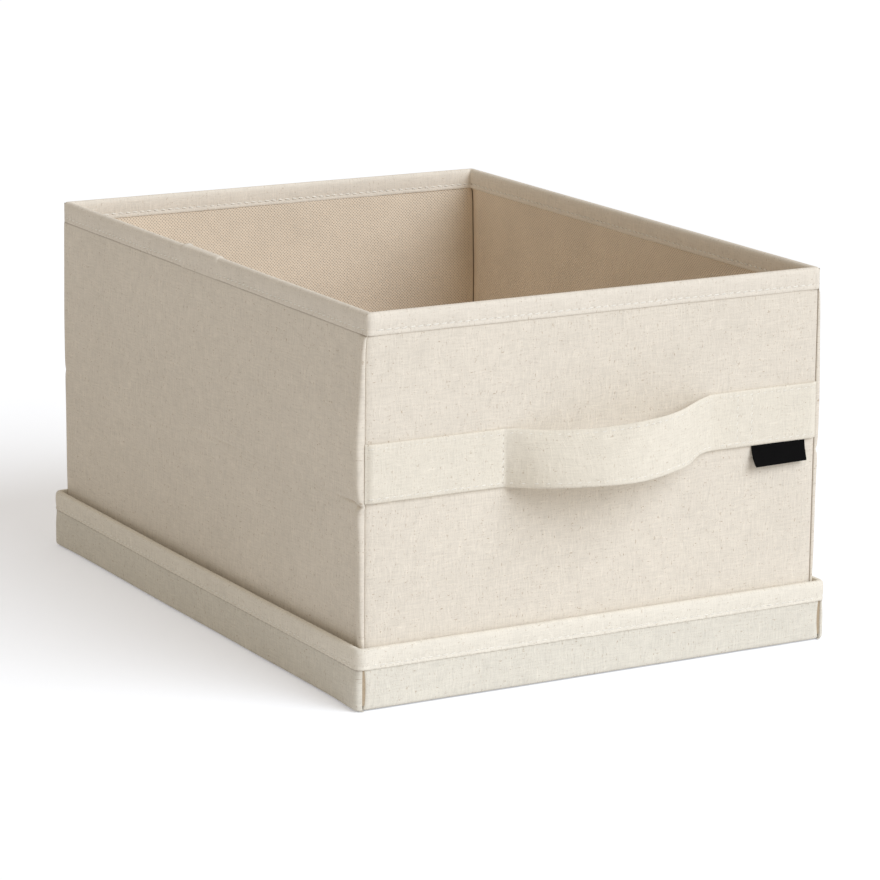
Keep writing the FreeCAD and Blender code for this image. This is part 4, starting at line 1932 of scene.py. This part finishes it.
@dataclass
class Tag:
    """Folded black ribbon, bare on both faces, sewn in under the strap's lower edge."""

    bench: Bench
    plan: BoxPlan = field(default_factory=BoxPlan)
    left: float = 94.0
    right: float = 127.5
    top: float = 111.4
    drop: float = 11.4
    lift_left: float = 4.6
    lift_right: float = 2.4
    stand_off: float = 0.35
    rise_right: float = 0.35
    keep: float = 0.5
    columns: int = 16

    def build(self) -> None:
        """Makes the ribbon, which leans out from the wall."""
        profile = [
            (0.95, 0.0), (0.95, 1.5), (0.98, 4.0), (1.05, 7.0), (1.1, 9.6), (1.0, 10.7), (0.62, self.drop),
            (0.2, 10.8), (0.05, 9.6), (0.1, 7.0), (0.2, 4.0), (0.2, 1.5), (0.15, 0.0),
        ]
        run, last = unrolled(profile), len(profile) - 1

        def place(i: int, j: int) -> Knot:
            """A point of the ribbon, from its inner top round its fold to its outer top.

            Args:
                i: Its column.
                j: Its row.

            Returns:
                The point.
            """
            n, w = profile[last - j]
            share = i / self.columns
            x = lerp(self.left, self.right, share)
            lift = lerp(self.lift_left, self.lift_right, share) * smooth(-0.5, 1.4, w / self.drop)
            sway = 0.15 * wander(x * 2.2, w * 2, 91.0)
            out = self.stand_off + n + lift * 1.25 * (w / self.drop) + sway
            drop = math.sqrt(max(0.0, w * w - (lift * w / self.drop) ** 2))
            rise = lerp(0.0, self.rise_right, share)
            return Knot(x, -self.plan.half_y - out, self.top - drop + rise, x, run[last - j])

        piece = self.bench.cloth("folded_tag_ribbon", self.columns, last, place, thickness=Gauge.RIBBON)
        self.bench.hand_over(piece, Wardrobe.TAG, "tag_ribbon", ["folded_tag"], "tag")
        self.bench.declare(piece, "folded", ["front_wall_cover"])
        self.top * MM
        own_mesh(piece)


@dataclass
class Lid:
    """Low tray that the box stands in: rim flaps, tape, lining, boards and panel."""

    bench: Bench
    half_x: float = 142.1
    half_y: float = 186.6
    wall_top: float = 32.2
    top: float = 32.8
    floor: float = 3.0
    inner_x: float = 139.6
    inner_y: float = 184.1
    board: float = 1.6
    nose: float = 3.0
    nose_back: float = 4.0
    flap_end: float = 138.7
    pitch: float = 4.5
    sewn_at: float = 24.0
    sewn_depths: tuple[float, float] = (0.46, -2.96)
    ridge: float = -1.5
    corner_radius: float = 4.4
    groove: float = 21.75
    groove_width: float = 0.4
    slit_foot: float = 1.5
    slit_height: float = 21.0
    slit_width: float = 0.9
    tape_pattern_at: float = 900.0
    floor_pattern_at: float = 7000.0
    fold_mark: tuple[tuple[float, float], tuple[float, float]] = ((-119.6, 21.0), (-124.6, 14.0))
    levels: tuple[float, ...] = (
        0.5, 0.8, 1.3, 2.0, 3.0, 4.6, 7.0, 9.5, 11.5, 13.0, 14.0, 15.0, 16.0, 17.0, 18.0, 19.0, 20.0, 21.0,
        21.5, 22.0, 24.0, 28.0, 31.6,
    )
    inset: tuple[float, ...] = (3.0, 1.2, 0.45, 0.12, 0.0)
    profile: tuple[tuple[float, float], ...] = (
        (0.06, 22.2), (0.45, 21.95), (0.66, 22.25), (0.68, 22.9), (0.54, 23.5), (0.46, 24.0), (0.55, 24.6),
        (0.7, 25.8), (0.76, 28.2), (0.68, 30.4), (0.35, 31.8), (-0.5, 32.6), (-1.6, 32.85), (-2.7, 32.6),
        (-3.0, 31.8), (-3.18, 30.4), (-3.24, 28.2), (-3.18, 25.8), (-3.02, 24.6), (-2.94, 24.0), (-3.0, 23.5),
        (-3.12, 22.9), (-3.12, 22.25), (-2.95, 21.95), (-2.56, 22.2),
    )

    def plane(self, side: Side) -> float:
        """Distance of a flap's outer face from the middle."""
        return self.half_x if side.long else self.half_y

    def across(self, side: Side) -> float:
        """Half of a flap's length."""
        return self.half_y if side.long else self.half_x

    def bow(self, side: Side, s: float, z: float) -> float:
        """How far a flap leans out at a place.

        Args:
            side: The flap.
            s: Place along it.
            z: Height.

        Returns:
            The distance out.
        """
        reach = self.across(side)
        middle = max(0.0, math.cos(math.pi / 2 * min(1.0, abs(s) / reach))) ** 1.4
        lean = {"left": 0.9, "right": 0.2, "front": 0.35, "back": 0.9}[side.label]
        sway = 0.26 * wander(s, z * 0.4, side.seed + 7) * smooth(reach, reach - 18, abs(s))
        return lean * middle * (0.25 + 0.75 * (z / self.top)) + sway

    def slit(self, z: float) -> float:
        """How far a front or back flap's end draws back at the open slit of a corner."""
        share = min(1.0, max(0.0, (z - self.slit_foot) / self.slit_height))
        return self.slit_width * max(0.0, math.sin(math.pi * share)) ** 0.7

    def dent(self, s: float, z: float) -> float:
        """Depth of the short fold mark at the left end of the front flap.

        Args:
            s: Place along the flap.
            z: Height.

        Returns:
            The depth.
        """
        (x0, z0), (x1, z1) = self.fold_mark
        length = math.hypot(x1 - x0, z1 - z0)
        t = ((s - x0) * (x1 - x0) + (z - z0) * (z1 - z0)) / length**2
        gap = ((s - x0) * (z1 - z0) - (z - z0) * (x1 - x0)) / length
        along = smooth(-0.2, 0.1, t) * smooth(1.5, 0.9, t)
        hollow = 0.3 * smooth(-4.5, 0.0, -abs(gap)) * (gap < 0)
        return (0.32 * bell(gap, 0.0, 1.0) + hollow) * along

    def flap_ends(self, side: Side) -> list[tuple[float, float]]:
        """A flap's left end, from inside the slit: distance out, and distance in from the end.

        Args:
            side: The flap.

        Returns:
            Distance out and distance in of each point.
        """
        if not side.long:
            return [(-2.8, 0.0), (-1.5, 0.0), (-0.75, 0.16), (-0.38, 0.5), (-0.15, 1.2), (-0.03, 2.3)]
        nose, back = self.nose, self.nose_back
        ends = [(-nose - 0.05, 3.6), (-nose - 0.02, 1.9), (-nose, 0.8)]
        for angle in (10.0, 24.0, 38.0, 52.0, 66.0, 80.0, 90.0):
            t = math.radians(angle)
            ends.append((nose * (math.sin(t) - 1), 0.05 + back * (1 - math.cos(t))))
        return ends

    def flap(self, side: Side) -> bpy.types.Object:
        """Makes a flap's outer cloth.

        Args:
            side: The flap.

        Returns:
            The piece.
        """
        plane, ends = self.plane(side), self.flap_ends(side)
        if side.long:
            reach = self.half_y
            inner = spread(-reach + 7, reach - 7, 60)
        else:
            reach = self.flap_end
            marked = spread(-reach + 8, -reach + 24, 24 if side is Side.FRONT else 4)
            inner = [-reach + 5, *marked, *spread(-reach + 29, reach - 5, 60)]
        left, right = [(-1, *end) for end in ends], [(1, *end) for end in reversed(ends)]
        steps = left + [(0, 0.0, s) for s in inner] + right
        dim = 0.5 if side.long else 0.25

        def place(i: int, j: int) -> Knot:
            """A point of the flap's cloth.

            Args:
                i: Its column.
                j: Its row.

            Returns:
                The point.
            """
            z = self.levels[j]
            way, out, at = steps[i]
            inset = self.inset[j] if j < len(self.inset) else 0.0
            clear = 1.0
            if way == 0:
                s = at
            else:
                s = way * (reach - at - (0.0 if side.long else self.slit(z)))
                # Painted shade inside the slit at the flap's end.
                clear = smooth(3.4, 0.6, at) if side.long and out <= -self.nose else 1.0
                clear = clear if side.long else smooth(-2.4, -0.4, out)
            # Painted shade along the groove under the tape.
            clear *= 1 - dim * bell(z, self.groove, self.groove_width)
            if side.long:
                back = reach - abs(s)
                near = side is Side.LEFT and s > 0
                flare = (1.3 if near else 0.6) * bell(max(0.0, back - 4), 0.0, 16)
                out += flare * smooth(23, 12, z) * smooth(-self.nose, -self.nose * 0.4, out)
                inset *= smooth(-self.nose, -self.nose * 0.2, out)
            if side is Side.FRONT:
                out -= self.dent(s, z)
            drop = 0.3 * smooth(0.6, 2.6, inset)
            return side.spot(s, z - drop, plane + out + self.bow(side, s, z) - inset, u=s, v=z, clear=clear)

        piece = self.bench.cloth(f"lid_flap_{side.label}", len(steps) - 1, len(self.levels) - 1, place)
        self.bench.hand_over(piece, Wardrobe.FLAP, "outer_linen", ["lid_rim_cloths"], "lid")
        return self.bench.declare(piece, "stretched", [f"lid_rim_board_{side.label}"])

    def flap_board(self, side: Side) -> bpy.types.Object:
        """Makes a flap's board.

        Args:
            side: The flap.

        Returns:
            The piece.
        """
        plane, reach = self.plane(side) - 0.6, self.across(side) - 2.6
        columns, rows = 40, 4

        def place(i: int, j: int) -> Knot:
            """A point of the board's outer face."""
            s, z = lerp(-reach, reach, i / columns), lerp(self.floor + 0.4, self.wall_top - 0.4, j / rows)
            return side.spot(s, z, plane + self.bow(side, s, z))

        name, node = f"lid_flap_board_{side.label}", f"lid_rim_board_{side.label}"
        piece = self.bench.cloth(name, columns, rows, place, thickness=self.board - 0.3, angle=30)
        return self.bench.hand_over(piece, Wardrobe.BOARD, "paperboard", [node], "lid")

    def flap_lining(self, side: Side) -> bpy.types.Object:
        """Makes a flap's inner cloth.

        Args:
            side: The flap.

        Returns:
            The piece.
        """
        plane = self.inner_x if side.long else self.inner_y
        reach = self.inner_y if side.long else self.inner_x
        columns, rows = 44, 8

        def place(i: int, j: int) -> Knot:
            """A point of the inner cloth."""
            s, z = lerp(-reach, reach, i / columns), lerp(self.floor - 0.2, self.wall_top - 0.4, j / rows)
            return side.spot(s, z, plane + self.bow(side, s, z) * smooth(reach, reach - 4, abs(s)), u=-s)

        name = f"lid_flap_lining_{side.label}"
        piece = self.bench.cloth(name, columns, rows, place, turned=True, thickness=Gauge.LID_LINING)
        self.bench.hand_over(piece, Wardrobe.LINING, "lining_cloth", ["lid_rim_linings"], "lid")
        return self.bench.declare(piece, "stretched", [f"lid_rim_board_{side.label}"])

    def tape(self) -> bpy.types.Object:
        """Makes the tape round the lid's rim.

        Returns:
            The tape.
        """
        run, arc = unrolled(self.profile), 8
        steps: list[tuple[Side, float, float]] = []
        for side in (Side.FRONT, Side.RIGHT, Side.BACK, Side.LEFT):
            count = 248 if side.long else 186
            steps += [(side, lerp(-1, 1, k / count), -1.0) for k in range(count + 1)]
            steps += [(side, 1.0, k / arc) for k in range(1, arc)]
        steps.append(steps[0])
        around = [0.0]

        def spot(step: tuple[Side, float, float], d: float, z: float) -> Knot:
            """Places one point of the tape's cross-section at a step of its path.

            Args:
                step: The flap, the share along it, and the share round the corner after it, if any.
                d: Distance out from the flap's face.
                z: Height.

            Returns:
                The point.
            """
            side, share, turn = step
            radius = max(self.corner_radius + d, 0.3)
            reach = self.across(side) + d - radius
            if turn < 0:
                s = share * reach
                out = self.plane(side) + d + self.bow(side, s, z) * smooth(reach + 2, reach - 10, abs(s))
                wave = scallop(s, self.pitch)
                lift = 0.12 * wander(s * 1.8, d * 9, side.seed + 47)
                rise = lift - 0.16 * wave if z < 23 else 0.0
                lift += 0.12 * bell(z, self.sewn_at, 1.5) * wave
                return side.spot(s, z + rise, out + (lift if d > self.ridge else -lift))
            angle = math.radians(90 * turn)
            s = reach + radius * math.sin(angle)
            return side.spot(s, z, self.plane(side) + d - radius + radius * math.cos(angle))

        for first, second in zip(steps, steps[1:]):
            a, b = spot(first, 0.7, 28.0), spot(second, 0.7, 28.0)
            around.append(around[-1] + math.hypot(b.x - a.x, b.y - a.y))

        def place(i: int, j: int) -> Knot:
            """A point of the tape.

            Args:
                i: Its column.
                j: Its row.

            Returns:
                The point.
            """
            knot = spot(steps[i], *self.profile[j])
            # Painted shade under the tape's outer foot.
            dim = 0.35 if steps[i][0].long else 0.7
            clear = dim if j < 2 else 1.0
            return Knot(knot.x, knot.y, knot.z, around[i] + self.tape_pattern_at, run[j], clear)

        columns, rows = len(steps) - 1, len(self.profile) - 1
        piece = self.bench.cloth("lid_rim_tape", columns, rows, place, thickness=Gauge.TAPE, closed=True)
        self.bench.hand_over(piece, Wardrobe.LID_TAPE, "binding_tape", ["lid_binding"], "lid")
        return self.bench.declare(piece, "folded", [f"lid_rim_board_{side.label}" for side in Side])

    def stitches(self) -> None:
        """Sews the tape on, inside and out."""
        for side in Side:
            right, out = side.vectors()
            count = int((self.across(side) - 6) / self.pitch)
            spots = []
            for k in range(-count, count):
                s = (k + 0.5) * self.pitch
                for depth, way in zip(self.sewn_depths, (out, -out)):
                    place = right * s + out * (self.plane(side) + depth + self.bow(side, s, self.sewn_at))
                    tilt = 0.1 + 0.16 * noise.noise(Vector((s * 0.3, depth, 2.0)))
                    spots.append((place + Vector((0, 0, self.sewn_at)), right + Vector((0, 0, tilt)), way))
            self.bench.sewn(f"lid_stitches_{side.label}", spots, "binding_tape", "lid")

    def panel(self) -> None:
        """Makes the cloth under the lid, its board and the lining of its floor."""
        inset, columns, rows = 3.6, 24, 32
        low = Vector((-self.half_x + inset, -self.half_y + inset, 0.0))
        high = Vector((self.half_x - inset, self.half_y - inset, 0.9))
        under = self.bench.slab("lid_panel_under_cloth", low, high, 2.4, 0.3)
        self.bench.hand_over(under, Wardrobe.FLAP, "outer_linen", ["lid_panel_cloth"], "lid")
        self.bench.wardrobe.dress(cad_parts["lid_board"], Wardrobe.BOARD)

        def place(i: int, j: int) -> Knot:
            """A point of the floor's lining.

            Args:
                i: Its column.
                j: Its row.

            Returns:
                The point.
            """
            x = lerp(-self.inner_x, self.inner_x, i / columns)
            y = lerp(-self.inner_y, self.inner_y, j / rows)
            swell = 0.12 * (1 + wander(x, y, 83.0)) * 0.5
            return Knot(x, y, self.floor + swell, x + self.floor_pattern_at, y)

        floor = self.bench.cloth("lid_floor_lining", columns, rows, place, thickness=Gauge.LID_LINING)
        self.bench.hand_over(floor, Wardrobe.LINING, "lining_cloth", ["lid_panel_lining"], "lid")
        self.bench.declare(floor, "stretched", ["lid_board"])

    def build(self) -> None:
        """Makes the whole lid."""
        for side in Side:
            self.flap(side)
            self.flap_board(side)
            self.flap_lining(side)
        self.tape()
        self.stitches()
        self.panel()


@dataclass
class Studio:
    """Pale floor, soft light and the camera."""

    eye: tuple[float, float, float] = (-1.00349, -1.78031, 0.56864)
    look: tuple[float, float, float] = (0.478707, 0.849285, -0.222609)
    roll: float = 0.448
    lens: float = 154.46
    shift: tuple[float, float] = (0.0178, -0.0312)
    ambient: float = 0.47
    ambient_tint: Colour = (1.0, 0.91, 0.785)
    key_strength: float = 2.07
    key_tint: Colour = (0.877, 0.931, 1.0)
    key_way: tuple[float, float, float] = (0.36, -0.70, 0.56)
    key_softness: float = 45.0
    floor_tint: Colour = (0.94, 0.97, 1.0)
    floor_lift: float = 0.275
    lift_tint: Colour = (0.97, 0.98, 1.07)
    unseen_floor_tint: Colour = (0.86, 0.86, 0.87)
    floor_size: float = 30.0
    sensor: float = 36.0
    clip: tuple[float, float] = (0.05, 60.0)

    def camera(self) -> None:
        """Sets up the camera."""
        data = bpy.data.cameras.new("camera")
        data.lens, data.sensor_width, data.sensor_fit = self.lens, self.sensor, "HORIZONTAL"
        data.shift_x, data.shift_y = self.shift
        data.clip_start, data.clip_end = self.clip
        data.dof.use_dof = False
        camera = bpy.data.objects.new("camera", data)
        ahead = Vector(self.look).normalized()
        level = ahead.cross(Vector((0, 0, 1))).normalized()
        upright = level.cross(ahead)
        turn = math.radians(self.roll)
        right = level * math.cos(turn) + upright * math.sin(turn)
        up = upright * math.cos(turn) - level * math.sin(turn)
        pose = Matrix((right, up, -ahead)).transposed().to_4x4()
        camera.matrix_world = Matrix.Translation(Vector(self.eye)) @ pose
        bpy.context.scene.collection.objects.link(camera)
        bpy.context.scene.camera = camera

    @staticmethod
    def seen(graph: Graph) -> Value:
        """Whether a ray comes from the camera or off something glossy."""
        path = graph.node("ShaderNodeLightPath", {}, {})
        return Value(graph, path.outputs["Is Camera Ray"]).top(Value(graph, path.outputs["Is Glossy Ray"]))

    def lights(self) -> None:
        """Sets up the key light and the even light all round, which is white where it is seen."""
        data = bpy.data.lights.new("key", "SUN")
        data.energy, data.color = self.key_strength, self.key_tint
        data.angle = math.radians(self.key_softness)
        key = bpy.data.objects.new("key", data)
        key.matrix_world = Vector(self.key_way).to_track_quat("Z", "Y").to_matrix().to_4x4()
        bpy.context.scene.collection.objects.link(key)
        g = Graph(bpy.data.worlds.new("studio"))
        bpy.context.scene.world = g.owner
        seen = self.seen(g)
        soft = g.node("ShaderNodeBackground", {}, {0: (*self.ambient_tint, 1.0), 1: self.ambient})
        white = g.node("ShaderNodeBackground", {}, {0: (1.0, 1.0, 1.0, 1.0), 1: 1.0})
        mix = g.node("ShaderNodeMixShader", {}, {0: seen, 1: soft.outputs[0], 2: white.outputs[0]})
        g.node("ShaderNodeOutputWorld", {}, {0: mix.outputs[0]})

    def floor(self) -> None:
        """Lays the pale floor, a little lifted where it is seen."""
        bpy.ops.object.select_all(action="DESELECT")
        bpy.ops.mesh.primitive_plane_add(size=self.floor_size, location=(0, 0, 0))
        piece = bpy.context.object
        piece.name = "studio_floor"
        g = Graph.of("pale_floor")
        plain = g.node("ShaderNodeBsdfDiffuse", {}, {"Color": (*self.unseen_floor_tint, 1.0)})
        pale = g.node("ShaderNodeBsdfDiffuse", {}, {"Color": (*self.floor_tint, 1.0)})
        glow = {"Color": (*self.lift_tint, 1.0), "Strength": self.floor_lift}
        lift = g.node("ShaderNodeEmission", {}, glow)
        bright = g.node("ShaderNodeAddShader", {}, {0: pale.outputs[0], 1: lift.outputs[0]})
        sockets = {0: self.seen(g), 1: plain.outputs[0], 2: bright.outputs[0]}
        mix = g.node("ShaderNodeMixShader", {}, sockets)
        g.node("ShaderNodeOutputMaterial", {}, {0: mix.outputs[0]})
        piece.data.materials.append(g.owner)

    def build(self) -> None:
        """Sets up the whole studio."""
        self.camera()
        self.lights()
        self.floor()
        bpy.context.scene.view_settings.view_transform = "Standard"


def main() -> None:
    """Builds the dressed box and its studio."""
    logging.basicConfig(level=logging.INFO, format="%(message)s")
    bench = Bench(Wardrobe())
    for assembly in (BaseCloths, WallCloths, CornerGussets, RimTape, Handle, Tag, Lid):
        log.info("%s", assembly.__name__)
        assembly(bench).build()
    Studio().build()


if __name__ == "__main__":
    main()
